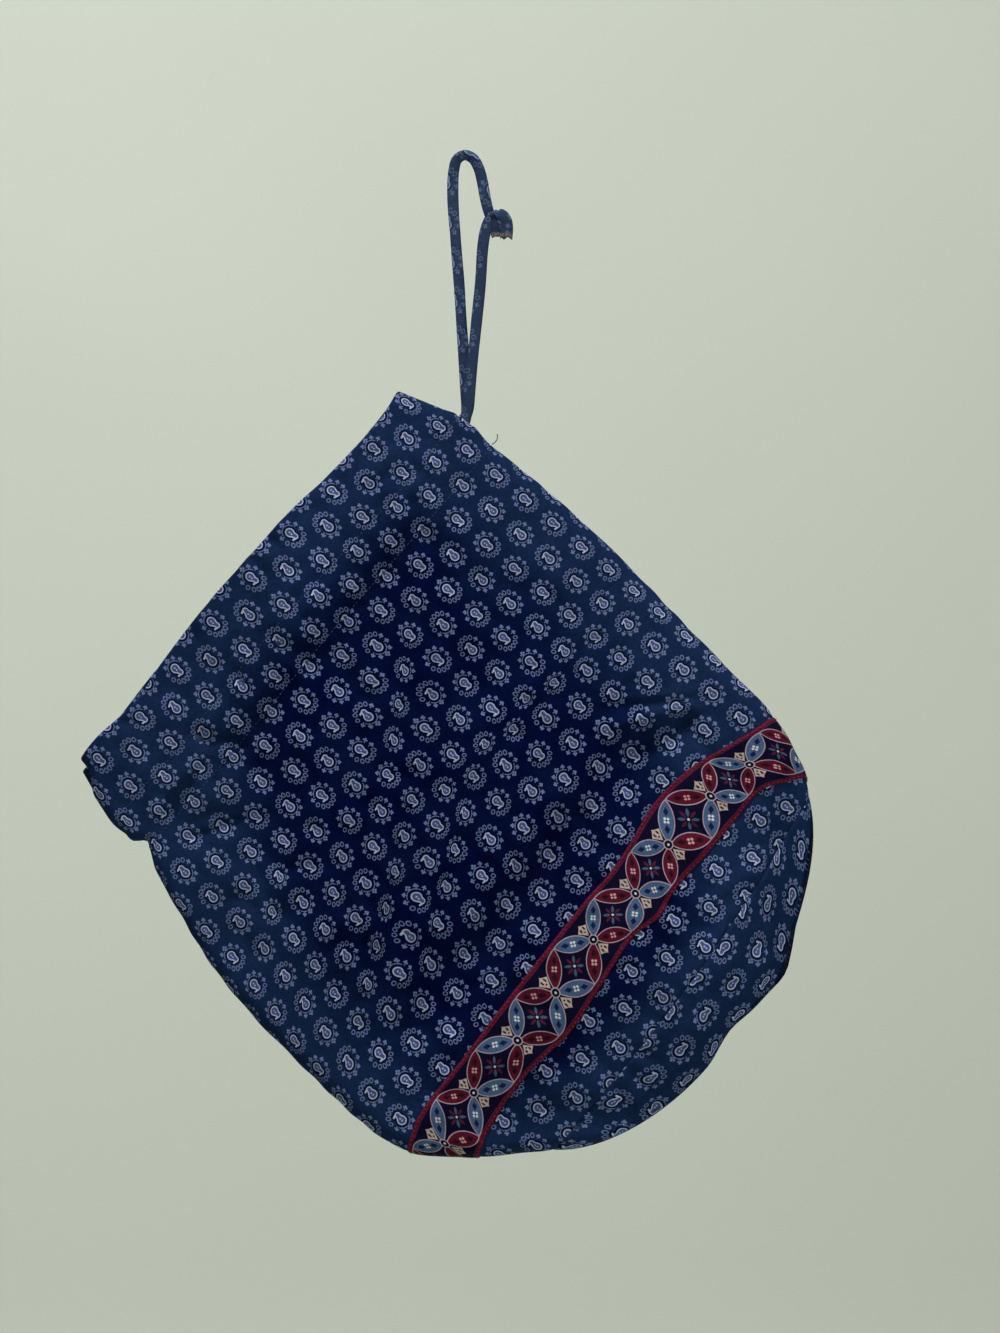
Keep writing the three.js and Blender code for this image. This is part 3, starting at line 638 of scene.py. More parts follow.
def botehPrint():
    group = bpy.data.node_groups.new("boteh foulard", "ShaderNodeTree")
    for name in ("u", "v"):
        group.interface.new_socket(name, in_out="INPUT", socket_type="NodeSocketFloat")
    for name in ("wreath", "outline", "inside", "dots", "halo"):
        group.interface.new_socket(name, in_out="OUTPUT", socket_type="NodeSocketFloat")
    node = functools.partial(addNode, group)
    u = node("NodeGroupInput")
    v = u.node.outputs["v"]

    # a point's own cell: columns half a repeat apart, every other one half a row lower and upside down
    half = grain["columnPitch"] / 2
    column = node("Math ROUND", [node("Math DIVIDE", [u, half])])
    x = node("Math MULTIPLY_ADD", [column, -half, u])
    odd = node("Math FLOORED_MODULO", [column, 2])
    rows = node("Math MULTIPLY_ADD", [odd, -0.5, node("Math DIVIDE", [v, grain["rowPitch"]])])
    down = node("Math SUBTRACT", [rows, node("Math ROUND", [rows])])
    down = node("Math MULTIPLY", [down, grain["rowPitch"]])
    up = node("Math MULTIPLY", [down, node("Math MULTIPLY_ADD", [odd, -2, 1])])
    point = node("CombineXYZ", [x, up])

    # the boteh: a round body, a neck and a hooked tip
    body = node("VectorMath DISTANCE", [point, (*motif["bodyMiddle"], 0)])
    body = node("Math SUBTRACT", [body, motif["bodyRadius"]])
    neck = stroke(node, point, *motif["neck"])
    hook = stroke(node, point, *motif["hook"])
    boteh = node("Math SMOOTH_MIN", [body, neck, motif["neckJoin"]])
    boteh = node("Math SMOOTH_MIN", [boteh, hook, motif["hookJoin"]])

    # the wreath: its elements lie on an oval, each in a sector of its own with t along and r out
    (cx, cy), (rx, ry) = motif["wreathMiddle"], motif["wreathRadii"]
    sector = 2 * math.pi / motif["wreathCount"]
    radius = (rx + ry) / 2
    oval = node("VectorMath MULTIPLY_ADD", [point, (1 / rx, 1 / ry, 0), (-cx / rx, -cy / ry, 0)])
    ox = node("SeparateXYZ", [oval])
    oy = ox.node.outputs["Y"]
    bearing = node("Math ARCTAN2", [ox, node("Math MULTIPLY", [oy, -1])])
    even = node("Math MULTIPLY_ADD", [node("Math SINE", [bearing]), -motif["crowd"], bearing])
    place = node("Math ROUND", [node("Math DIVIDE", [even, sector])])
    middle = node("Math MULTIPLY", [place, sector])
    middle = node("Math MULTIPLY_ADD", [node("Math SINE", [middle]), motif["crowd"], middle])
    angle = node("Math SUBTRACT", [bearing, middle])
    out = node("Math MULTIPLY", [node("VectorMath LENGTH", [oval]), radius])
    t = node("Math MULTIPLY", [out, node("Math SINE", [angle])])
    r = node("Math SUBTRACT", [node("Math MULTIPLY", [out, node("Math COSINE", [angle])]), radius])
    away = node("Math ABSOLUTE", [t])

    loop, lobe, tip, stem = (motif[part] for part in ("loop", "lobe", "tip", "stem"))
    loopRing = spot(node, t, node("Math MULTIPLY", [r, loop["squeeze"]]), loop["radius"])
    loopRing = node("Math SUBTRACT", [node("Math ABSOLUTE", [loopRing]), loop["halfLine"]])
    lobeAside = node("Math SUBTRACT", [away, lobe["aside"]])
    lobes = spot(node, lobeAside, node("Math SUBTRACT", [r, lobe["out"]]), lobe["radius"])
    budTip = spot(node, t, node("Math SUBTRACT", [r, tip["out"]]), tip["radius"])
    stemAlong = node("Math ABSOLUTE", [node("Math ADD", [r, stem["inward"]])])
    stemAlong = node("Math SUBTRACT", [stemAlong, stem["halfLong"]])
    budStem = node("Math MAXIMUM", [node("Math SUBTRACT", [away, stem["half"]]), stemAlong])
    bud = node("Math MINIMUM", [node("Math MINIMUM", [lobes, budTip]), budStem])
    fromFat = node("Math ABSOLUTE", [node("Math SUBTRACT", [place, 0.5])])
    isBud = node("Math LESS_THAN", [fromFat, motif["budPlaces"]])
    isFleur = node("Math LESS_THAN", [node("Math ABSOLUTE", [place]), 0.5])
    ring = node("Mix", [isBud, None, inked(node, loopRing), inked(node, bud)])
    ring = node("Math MULTIPLY", [ring, node("Math SUBTRACT", [1, isFleur])])

    # the large fleur at the fat end, and the thin stem that hugs the boteh there
    fx = node("Math ABSOLUTE", [node("Math SUBTRACT", [x, cx])])
    fy = node("Math MULTIPLY", [node("Math SUBTRACT", [up, cy - ry]), -1])
    side, tip, foot, hug = (motif[part] for part in ("fleurSide", "fleurTip", "fleurFoot", "hug"))
    fleurSides = spot(node, node("Math SUBTRACT", [fx, side["aside"]]), fy, side["radius"])
    fleurTip = spot(node, fx, node("Math SUBTRACT", [fy, tip["out"]]), tip["radius"])
    fleurFoot = spot(node, fx, node("Math SUBTRACT", [fy, foot["out"]]), foot["radius"])
    fleur = node("Math SMOOTH_MIN", [fleurSides, fleurTip, motif["fleurJoin"]])
    fleur = node("Math SMOOTH_MIN", [fleur, fleurFoot, motif["fleurJoin"]])
    hugging = node("Math ABSOLUTE", [node("Math SUBTRACT", [boteh, hug["off"]])])
    hugging = node("Math SUBTRACT", [hugging, hug["halfLine"]])
    hugging = node("Math MAXIMUM", [hugging, node("Math ADD", [up, hug["below"]])])
    wreath = node("Math MAXIMUM", [ring, inked(node, node("Math MINIMUM", [fleur, hugging]))])

    half = motif["outlineWide"] / 2
    outline = node("Math SUBTRACT", [node("Math ABSOLUTE", [node("Math ADD", [boteh, half])]), half])
    inside = node("Math ADD", [boteh, half])
    bead, halo = motif["beads"], motif["halo"]
    beads = node("Math ABSOLUTE", [node("Math ADD", [up, bead["middle"]])])
    beads = spot(node, x, node("Math SUBTRACT", [beads, bead["apart"]]), bead["radius"])
    shade = inked(node, node("Math SUBTRACT", [boteh, halo["wide"]]), halo["soft"])
    shapes = [wreath, inked(node, outline), inked(node, inside), inked(node, beads), shade]
    node("NodeGroupOutput", shapes)
    return group


botehGroup = botehPrint()

# ground is the colour of the panels' middle, darkened there with painted shade; the other ground colour is
# that of the faded edges
printInk = dict(
    ground="#010934", fadedUnshaded="#16294b", halo="#030822", wreath="#6c7aa6", inside="#454f7c", dots="#a3aecf",
    outline="#a9b4d4",
)
cordInk = dict(  # the cord is handled most, and its dye has worn paler
    ground="#303d5a", fadedUnshaded="#303d5a", halo="#28344f", wreath="#56678a", inside="#435377", dots="#66769a",
    outline="#7d8dae",
)
reverseInk = dict(
    ground="#252d4a", fadedUnshaded="#28304b", halo="#20273f", wreath="#3d4463", inside="#3b405c", dots="#4a4f6d",
    outline="#525776",
)


noiseSpan = (0.3, 0.7)  # the values of a noise that are stretched to a range
noiseCore = (0.35, 0.65)  # and those for more contrast
printCloth = dict(
    threadMm=1.1,
    fadeMm=70,
    mottleMm=2.2,
    uneven=(0.86, 1.14),
    printShadeAndFade=(0.93, 0.8),  # how bright the print is where the dye has faded, and where shade is painted in the middle
    crumpleMm=9,
    crumpleHeight=11,  # against the weave's height of 1
    bumpMm=0.12,
    roughness=(0.78, 0.9),
)


def printedCotton(name, ink):
    # Plain-woven cotton, rotary printed and washed soft: matt, with a faint bloom where the threads stand up,
    # paler along its hem and seams, where its dye has faded, and darker in the middle, where shade is painted
    # into its colour. Its threads are drawn twice as coarse as real ones so that they show.
    material, node = newMaterial(name)
    u = node("SeparateXYZ", [node("UVMap", uv_map="cloth")])
    v = u.node.outputs["Y"]
    drawn = node("Group", [u, v], node_tree=botehGroup).node.outputs
    # painted shade: the ground goes from the faded edges' colour to a darker one towards the middle, by the
    # panel's map of fade and shade
    shadeAndFade = node("Attribute", attribute_name="shadeAndFade").node.outputs["Fac"]
    colour = node("Mix", {0: shadeAndFade, 6: linear(ink["fadedUnshaded"]), 7: linear(ink["ground"])}, data_type="RGBA")
    for part in ("halo", "wreath", "inside", "dots", "outline"):
        colour = node("Mix", {0: drawn[part], 6: colour, 7: linear(ink[part])}, data_type="RGBA")
    place = node("TexCoord").node.outputs["Object"]
    fade = node("TexNoise", {"Vector": place, "Scale": 1000 / printCloth["fadeMm"], "Detail": 3})
    fade = node("MapRange", [fade, *noiseSpan, *printCloth["uneven"]])
    mottle = node("TexNoise", {"Vector": place, "Scale": 1000 / printCloth["mottleMm"], "Detail": 2})
    mottle = node("MapRange", [mottle, *noiseSpan, *printCloth["uneven"]])
    depth = node("Math MULTIPLY", [fade, mottle])
    # painted shade: the print too is darker towards the middle of a panel
    depth = node("Math MULTIPLY", [depth, node("MapRange", [shadeAndFade, 0, 1, *printCloth["printShadeAndFade"]])])
    colour = node("VectorMath SCALE", {0: colour, 3: depth})
    pace = 2 * math.pi / printCloth["threadMm"]
    threads = [node("Math SINE", [node("Math MULTIPLY", [way, pace])]) for way in (u, v)]
    crumpled = {"Vector": place, "Scale": 1000 / printCloth["crumpleMm"], "Detail": 4, "Roughness": 0.55}
    height = [node("TexNoise", crumpled), printCloth["crumpleHeight"], node("Math MULTIPLY", threads)]
    height = node("Math MULTIPLY_ADD", height)
    normal = node("Bump", {"Strength": 0.5, "Distance": printCloth["bumpMm"] * mm, "Height": height})
    roughness = node("MapRange", [mottle, *printCloth["uneven"], *printCloth["roughness"]])
    shader = node("BsdfPrincipled", {
        "Base Color": colour,
        "Roughness": roughness,
        "Normal": normal,
        "IOR": 1.46,
        "Specular IOR Level": 0.02,
        "Sheen Weight": 0.015,
        "Sheen Roughness": 0.4,
        "Sheen Tint": linear("#8fa6dc"),
    })
    node("OutputMaterial", [shader])
    return material


foulardCotton = printedCotton("printed navy cotton", printInk)
cordCotton = printedCotton("worn printed cotton", cordInk)
reverseCotton = printedCotton("reverse of the printed cotton", reverseInk)

# The border cotton: crosses of four petals between crimson edges, with a star between two crosses
border = dict(
    cross=42.9,
    half=20.0,
    edge=3.1,
    tipX=21.45,
    tipY=16.6,
    petalMiddle=14.2,
    petalHalf=12.6,
    petalWide=4.9,
    outline=0.27,
    flower=dict(apart=1.0, radius=0.8, eye=0.5),  # four dots in the middle of a petal
    gem=dict(out=5.3, slant=0.6, half=1.7),  # towards either end of it
    ring=dict(radius=2.9, halfLine=0.36, eye=0.8),
    # a bud between two petals: its foot, shoulders and tip out from the middle of the cross, half its width
    # and how hollow its brow is, with two dark leaves and a dot in it
    bud=dict(foot=3.9, shoulder=9.6, tip=13.1, wide=4.2, hollow=0.66),
    leaf=dict(aside=1.4, out=9.2, slim=0.45, half=0.62),
    dotOut=6.9,
    star=dict(rays=8, middle=4.0, halfLong=2.6, half=0.95, eye=0.75),
    fleckMm=1.6,
    fleckHeight=3,  # against the weave's height of 1
    threadMm=1.1,
    bumpMm=0.12,
    uneven=(0.85, 1.15),
    roughness=(0.76, 0.88),
)
borderInk = dict(
    ground="#0a0724", crimson="#5c1530", crimsonDark="#4a1228", red="#4f1126", blue="#415779",
    cream="#a592a0", bud="#ab9a92", flowerRed="#bd9091", flowerBlue="#c3c4ca", gemRed="#260b16",
    gemBlue="#111c42", rayRed="#4a1932", rayBlue="#40506a",
)


def borderCotton(name, ink):
    # Plain-woven cotton with a screen-printed border: matt, crisp pale outlines, edges speckled by the weave.
    # Its threads are drawn as coarse as the foulard's.
    material, node = newMaterial(name)
    u = node("SeparateXYZ", [node("UVMap", uv_map="cloth")])
    v = u.node.outputs["Y"]
    count = node("Math ROUND", [node("Math DIVIDE", [u, border["cross"]])])
    x = node("Math MULTIPLY_ADD", [count, -border["cross"], u])
    parity = node("Math FLOORED_MODULO", [count, 2])
    ax = node("Math ABSOLUTE", [x])
    ay = node("Math ABSOLUTE", [v])
    top = node("Math GREATER_THAN", [v, 0])
    isBlue = node("Math ABSOLUTE", [node("Math SUBTRACT", [top, parity])])

    def redOrBlue(red, blue):  # the petals change colours from side to side and from cross to cross
        return node("Mix", {0: isBlue, 6: linear(ink[red]), 7: linear(ink[blue])}, data_type="RGBA")

    def within(out, reach):
        return inked(node, node("Math SUBTRACT", [out, reach]))

    # one petal stands for all four
    lean = math.atan2(border["tipY"], border["tipX"])
    c, s = math.cos(lean), math.sin(lean)
    along = node("Math MULTIPLY_ADD", [ax, c, node("Math MULTIPLY", [ay, s])])
    along = node("Math SUBTRACT", [along, border["petalMiddle"]])
    across = node("Math ABSOLUTE", [node("Math MULTIPLY_ADD", [ay, c, node("Math MULTIPLY", [ax, -s])])])
    wide = border["petalWide"]
    arc = (border["petalHalf"] ** 2 + wide**2) / (2 * wide)
    petal = spot(node, along, node("Math ADD", [across, arc - wide]), arc)
    end = node("Math ABSOLUTE", [along])
    flower, gem = border["flower"], border["gem"]
    flowerEnd, flowerSide = (node("Math SUBTRACT", [way, flower["apart"]]) for way in (end, across))
    flowerDots = spot(node, flowerEnd, flowerSide, flower["radius"])
    gems = node("Math ABSOLUTE", [node("Math SUBTRACT", [end, gem["out"]])])
    gems = within(node("Math MULTIPLY_ADD", [gems, gem["slant"], across]), gem["half"])

    # the ring in the middle of a cross, and the buds
    ring, bud, leaf = (border[part] for part in ("ring", "bud", "leaf"))
    ringOut = lengthOf(node, x, v)
    ringLine = node("Math ABSOLUTE", [node("Math SUBTRACT", [ringOut, ring["radius"]])])
    flank = node("Math SUBTRACT", [ay, bud["foot"]])
    flank = node("Math MULTIPLY_ADD", [flank, -bud["wide"] / (bud["shoulder"] - bud["foot"]), ax])
    brow = node("Math POWER", [node("Math DIVIDE", [ax, bud["wide"]]), bud["hollow"]])
    brow = node("Math MULTIPLY_ADD", [brow, bud["tip"] - bud["shoulder"], ay])
    brow = node("Math SUBTRACT", [brow, bud["tip"]])
    leafOut = node("Math MULTIPLY", [node("Math SUBTRACT", [ay, leaf["out"]]), leaf["slim"]])
    leaves = spot(node, node("Math SUBTRACT", [ax, leaf["aside"]]), leafOut, leaf["half"])
    dot = spot(node, ax, node("Math SUBTRACT", [ay, border["dotOut"]]), leaf["half"])

    # the star between two crosses, its rays red and blue by turns
    star = border["star"]
    sector = 2 * math.pi / star["rays"]
    sx = node("Math SUBTRACT", [border["tipX"], ax])
    starOut = lengthOf(node, sx, v)
    turn = node("Math DIVIDE", [node("Math ARCTAN2", [v, sx]), sector])
    ray = node("Math ROUND", [turn])
    angle = node("Math MULTIPLY", [node("Math SUBTRACT", [turn, ray]), sector])
    rayOut = node("Math MULTIPLY", [starOut, node("Math COSINE", [angle])])
    raySide = node("Math ABSOLUTE", [node("Math MULTIPLY", [starOut, node("Math SINE", [angle])])])
    swell = node("Math DIVIDE", [node("Math SUBTRACT", [rayOut, star["middle"]]), star["halfLong"]])
    swell = node("Math MULTIPLY_ADD", [node("Math POWER", [swell, 2]), star["half"], -star["half"]])
    rays = inked(node, node("Math ADD", [raySide, swell]))
    rayKind = node("Math FLOORED_MODULO", [ray, 2])
    rayInk = {0: rayKind, 6: linear(ink["rayRed"]), 7: linear(ink["rayBlue"])}

    layers = (
        (rays, node("Mix", rayInk, data_type="RGBA")),
        (within(starOut, star["eye"]), linear(ink["flowerBlue"])),
        (inked(node, node("Math MAXIMUM", [flank, brow])), linear(ink["bud"])),
        (inked(node, node("Math MINIMUM", [leaves, dot])), linear(ink["ground"])),
        (inked(node, petal), redOrBlue("red", "blue")),
        (node("Math MULTIPLY", [gems, inked(node, petal)]), redOrBlue("gemRed", "gemBlue")),
        (inked(node, flowerDots), redOrBlue("flowerRed", "flowerBlue")),
        (within(lengthOf(node, along, across), flower["eye"]), redOrBlue("gemRed", "gemBlue")),
        (within(node("Math ABSOLUTE", [petal]), border["outline"]), linear(ink["cream"])),
        (within(ringOut, ring["radius"]), linear(ink["ground"])),
        (within(ringLine, ring["halfLine"]), linear(ink["cream"])),
        (within(ringOut, ring["eye"]), linear(ink["flowerBlue"])),
    )
    colour = linear(ink["ground"])
    for mask, paint in layers:
        colour = node("Mix", {0: mask, 6: colour, 7: paint}, data_type="RGBA")
    place = node("TexCoord").node.outputs["Object"]
    fleck = node("TexNoise", {"Vector": place, "Scale": 1000 / border["fleckMm"], "Detail": 2})
    speckle = node("MapRange", [fleck, *noiseCore, 0, 1])
    crimsons = {0: speckle, 6: linear(ink["crimsonDark"]), 7: linear(ink["crimson"])}
    speckled = node("Mix", crimsons, data_type="RGBA")
    edge = inked(node, node("Math SUBTRACT", [border["half"] - border["edge"], ay]))
    colour = node("Mix", {0: edge, 6: colour, 7: speckled}, data_type="RGBA")
    mottle = node("MapRange", [fleck, *noiseSpan, *border["uneven"]])
    colour = node("VectorMath SCALE", {0: colour, 3: mottle})
    pace = 2 * math.pi / border["threadMm"]
    threads = [node("Math SINE", [node("Math MULTIPLY", [way, pace])]) for way in (u, v)]
    height = node("Math MULTIPLY_ADD", [fleck, border["fleckHeight"], node("Math MULTIPLY", threads)])
    normal = node("Bump", {"Strength": 0.45, "Distance": border["bumpMm"] * mm, "Height": height})
    roughness = node("MapRange", [fleck, *noiseSpan, *border["roughness"]])
    shader = node("BsdfPrincipled", {
        "Base Color": colour,
        "Roughness": roughness,
        "Normal": normal,
        "IOR": 1.46,
        "Specular IOR Level": 0.05,
        "Sheen Weight": 0.02,
        "Sheen Roughness": 0.4,
        "Sheen Tint": linear("#d8cfd6"),
    })
    node("OutputMaterial", [shader])
    return material


bandCotton = borderCotton("printed border cotton", borderInk)


def plainFibre(name, colour, dark, grainMm, bumpMm=0.15):
    # Spun cotton without print: matt fibres, lighter and darker along their length.
    material, node = newMaterial(name)
    place = node("TexCoord").node.outputs["Object"]
    fibre = node("TexNoise", {"Vector": place, "Scale": 1000 / grainMm, "Detail": 3})
    share = node("MapRange", [fibre, *noiseCore, 0, 1])
    paint = node("Mix", {0: share, 6: linear(dark), 7: linear(colour)}, data_type="RGBA")
    shader = node("BsdfPrincipled", {
        "Base Color": paint,
        "Roughness": 0.85,
        "Normal": node("Bump", {"Strength": 0.5, "Distance": bumpMm * mm, "Height": fibre}),
        "IOR": 1.46,
        "Specular IOR Level": 0.15,
        "Sheen Weight": 0.08,
        "Sheen Roughness": 0.5,
    })
    node("OutputMaterial", [shader])
    return material


navyThread = plainFibre("navy sewing thread", "#3a4368", "#20284a", 0.8)
crimsonThread = plainFibre("crimson sewing thread", "#8d3046", "#5a1c2e", 0.8)
rawCotton = plainFibre("raw cut cotton edge", "#77716f", "#3c3a42", 1.0)


# Cord: one flat sewn tube, from the knot through the casing and over the hanging point to the knot again
cord = dict(
    width=7.5,
    thickness=3.0,
    sides=16,
    spacing=2.4,
    lower=tableOf(
        "x y z turn",
        (19.2, -2.7, -36.4, 0),
        (16.2, -2.8, -37.6, 0),
        (14.1, -2.7, -41.6, 0),
        (12.4, -2.6, -46.8, 0),
        (10.7, -2.6, -57.6, 0),
        (9.1, -2.7, -82, 0),
        (6.5, -2.8, -108, 0),
        (3.9, -2.6, -134, 0),
        (2.0, -2.3, -155, 0),
        (0.9, -2.1, -167, 0),
    ),
    upper=tableOf(
        "x y z turn",
        (-0.3, 2.1, -167, 0),
        (-0.9, 2.3, -155, 0),
        (-2.0, 2.5, -134, 0),
        (-3.9, 2.7, -107, 0),
        (-5.4, 2.7, -82, 0),
        (-7.0, 2.4, -62.6, 0),
        (-8.1, 1.9, -47.6, 0),
        (-9.3, 1.3, -32, 2),
        (-9.7, 0.7, -17.7, 6),
        (-9.0, 0.3, -5, 16),
        (-6.8, 0, 2.4, 30),
        (-1.6, 0, 5.4, 38),
        (4.0, 0, 3.0, 30),
        (7.8, 0, -3.2, 16),
        (10.4, 0.2, -12.7, 6),
        (12.2, 0.5, -22.7, 2),
        (14.2, 0.9, -31.4, 0),
        (15.9, 1.2, -36.4, 0),
    ),
    bunched=1.8,  # how much thicker the cord is where it bends over the hanging point
    bunchFrom=-24,
    bunchTo=0,
    entry=tableOf("fromSeam y drop", (0.5, 2.1, 48.6), (-4.2, 4.1, 50.6), (-7.4, 7.1, 51)),
    tunnelSpans=20,
    tunnelEnd=-0.03,
    wobbleLengths=(9.0, 23.0),  # the sewn tube is a little uneven
    wobbleWidth=0.16,
    wobbleThickness=0.1,
    squared=(0.7, 0.8),  # how square the flat tube is across and through: 1 is an oval, less is squarer
    cutFrom=(0.85, 6.0),  # where the strip happened to be cut from the print
)


def cordRoute():  # points in metres, and the turn of the flat side at each
    middle = casing["middle"]
    seam = readTable(bag["sections"], "drop", np.array(middle), "right")
    entry = np.stack([seam + cord["entry"]["fromSeam"], cord["entry"]["y"], -cord["entry"]["drop"]], -1)
    ways = []
    for side in (front, back):
        across = np.linspace(1, cord["tunnelEnd"], cord["tunnelSpans"] + 1)
        tunnel = wallPoint(side, across, np.full_like(across, middle), casing["cordIn"])
        mouthEnd = entry * (1, side["sign"], 1)
        ways.append(np.concatenate([mouthEnd, tunnel]))
    leftEnd = wallPoint(front, np.array([-bag["seamPast"]]), np.array([middle]), casing["cordIn"])
    leftEnd = leftEnd * (1, 0, 1)  # midway between front and back
    hidden = toWorld(np.concatenate([ways[0], leftEnd, ways[1][::-1]]))
    free = [np.stack([cord[s][axis] for axis in "xyz"], -1) * mm for s in ("lower", "upper")]
    points = np.concatenate([free[0], hidden, free[1]])
    turns = np.concatenate([cord["lower"]["turn"], np.zeros(len(hidden)), cord["upper"]["turn"]])
    return points, np.radians(turns)


# A centripetal curve through the points, evenly stepped, with a value at each point carried along it
def smoothPath(points, spacing, extra=None, steps=24):
    ends = np.concatenate([[2 * points[0] - points[1]], points, [2 * points[-1] - points[-2]]])
    knots = np.concatenate([[0], np.cumsum(np.linalg.norm(np.diff(ends, axis=0), axis=1) ** 0.5)])
    share = np.arange(steps) / steps
    found, extras = [], []
    for i in range(1, len(ends) - 2):
        t = (knots[i] + share * (knots[i + 1] - knots[i]))[:, None]
        k, p = knots[i - 1 : i + 3], ends[i - 1 : i + 3]
        a = [((k[j + 1] - t) * p[j] + (t - k[j]) * p[j + 1]) / (k[j + 1] - k[j]) for j in range(3)]
        b = [((k[j + 2] - t) * a[j] + (t - k[j]) * a[j + 1]) / (k[j + 2] - k[j]) for j in range(2)]
        found.append(((k[2] - t) * b[0] + (t - k[1]) * b[1]) / (k[2] - k[1]))
        if extra is not None:
            extras.append(extra[i - 1] + share * (extra[i] - extra[i - 1]))
    found = np.concatenate(found + [points[-1:]])
    run = np.concatenate([[0], np.cumsum(np.linalg.norm(np.diff(found, axis=0), axis=1))])
    stations = np.linspace(0, run[-1], max(4, round(run[-1] / spacing) + 1))
    path = np.stack([np.interp(stations, run, found[:, axis]) for axis in range(3)], -1)
    if extra is None:
        return path, stations, None
    return path, stations, np.interp(stations, run, np.concatenate(extras + [extra[-1:]]))


def flatTube(path, stations, widthAxis, turns, width, thickness, sides):
    # a grid of rings round a path, closed to a point at both ends, with the way round and along as its UV
    tangent = unit(np.gradient(path, axis=0))
    wide = unit(widthAxis - np.sum(tangent * widthAxis, -1, keepdims=True) * tangent)
    thin = np.cross(tangent, wide)
    cosine, sine = np.cos(turns)[:, None], np.sin(turns)[:, None]
    wide, thin = cosine * wide + sine * thin, cosine * thin - sine * wide
    angle = np.linspace(0, 2 * np.pi, sides + 1)  # the sewn seam lies along one edge
    across = np.sign(np.cos(angle)) * np.abs(np.cos(angle)) ** cord["squared"][0]
    through = np.sign(np.sin(angle)) * np.abs(np.sin(angle)) ** cord["squared"][1]
    width, thickness = np.broadcast_to(width, len(path)), np.broadcast_to(thickness, len(path))
    grid = path[:, None] + across[None, :, None] * (width / 2 * mm)[:, None, None] * wide[:, None]
    grid = grid + through[None, :, None] * (thickness / 2 * mm)[:, None, None] * thin[:, None]
    ends = [np.repeat(end[:, None], sides + 1, 1) for end in (path[:1], path[-1:])]
    grid = np.concatenate([ends[0], grid, ends[1]])
    girth = np.hypot(np.diff(across) * cord["width"] / 2, np.diff(through) * cord["thickness"] / 2)
    girth = np.concatenate([[0], np.cumsum(girth)])
    along = np.concatenate([[stations[0]], stations, [stations[-1]]]) / mm
    uv = np.stack(np.broadcast_arrays(girth[None, :], along[:, None]), -1)
    return grid, uv


bagUp = np.array([-math.sin(bag["tilt"]), 0, math.cos(bag["tilt"])])


# The way across the cord with its flat side to the front, held where the cord runs nearly straight back
def faceOn(path, least=0.5):
    across = np.cross((0.0, 1.0, 0.0), unit(np.gradient(path, axis=0)))
    middle = len(path) // 2
    for order in (range(middle, len(path)), range(middle - 1, -1, -1)):
        last = bagUp
        for i in order:
            here = across[i] * np.sign(across[i] @ last)
            last = across[i] = unit(here) if np.linalg.norm(here) > least else last
    return across


routePoints, routeTurns = cordRoute()
cordPath, cordStations, cordTurns = smoothPath(routePoints, cord["spacing"] * mm, routeTurns)
wobble = sum(np.sin(cordStations / mm / length) for length in cord["wobbleLengths"])
bunch = (cordPath[:, 2] / mm - cord["bunchFrom"]) / (cord["bunchTo"] - cord["bunchFrom"])
bunch = np.clip(bunch, 0, 1) ** 2
cordWidths = cord["width"] + cord["wobbleWidth"] * wobble
cordDepths = cord["thickness"] - cord["wobbleThickness"] * wobble + cord["bunched"] * bunch
cordGrid, cordUv = flatTube(
    cordPath, cordStations, faceOn(cordPath), cordTurns, cordWidths, cordDepths, cord["sides"]
)
cordUv = (cordUv + cord["cutFrom"]).reshape(-1, 2)
drawstring = makePiece(
    "drawstring_cord", cordGrid.reshape(-1, 3), [gridFaces(cordGrid)], cordUv, [cordCotton]
)


# Knot: the strands' ends wound over each other, with two cut tails
knot = dict(
    # each wrap is a flat length of the cord: its points, and the width and thickness that it is pressed to
    wraps=(
        (((15.6, 1.5, -36.0), (18.0, 2.6, -34.8), (21.0, 2.4, -35.6),
          (24.5, 1.6, -38.6), (26.0, 0.4, -42.5), (24.6, -0.6, -46.0)), 7.0, 3.2),
        (((18.8, -2.6, -36.6), (20.8, -4.2, -35.2), (23.6, -4.7, -36.2),
          (26.2, -4.2, -39.6), (27.0, -3.4, -44.0), (26.6, -3.1, -51.0)), 8.6, 3.2),
        (((17.4, 0.6, -35.2), (19.6, -3.0, -35.0), (21.4, -4.2, -38.2),
          (21.0, -3.4, -42.6), (20.4, -2.2, -46.0), (20.2, -1.7, -50.0)), 8.4, 3.0),
    ),
    flatWay=(1.0, 0, 0.25),
    spacing=0.9,
    sides=14,
    rawRings=4,  # the last rings of a wrap are its raw end
    fray=((1.1, 3, 1), (0.8, 7, 2)),  # waves round that end: height, how many, and the shift for each wrap
    sunk=1.2,
    cutFrom=(4.0, 28.0),
    cutNext=(0, 9),
    coreMiddle=(22.2, -1.0, -40.4),
    coreRadii=(6.4, 4.2, 5.8),
    coreGrid=(19, 29),
    coreSwell=0.06,
    coreCloth=(5, 6),  # print over the core, for each radian round and down
)


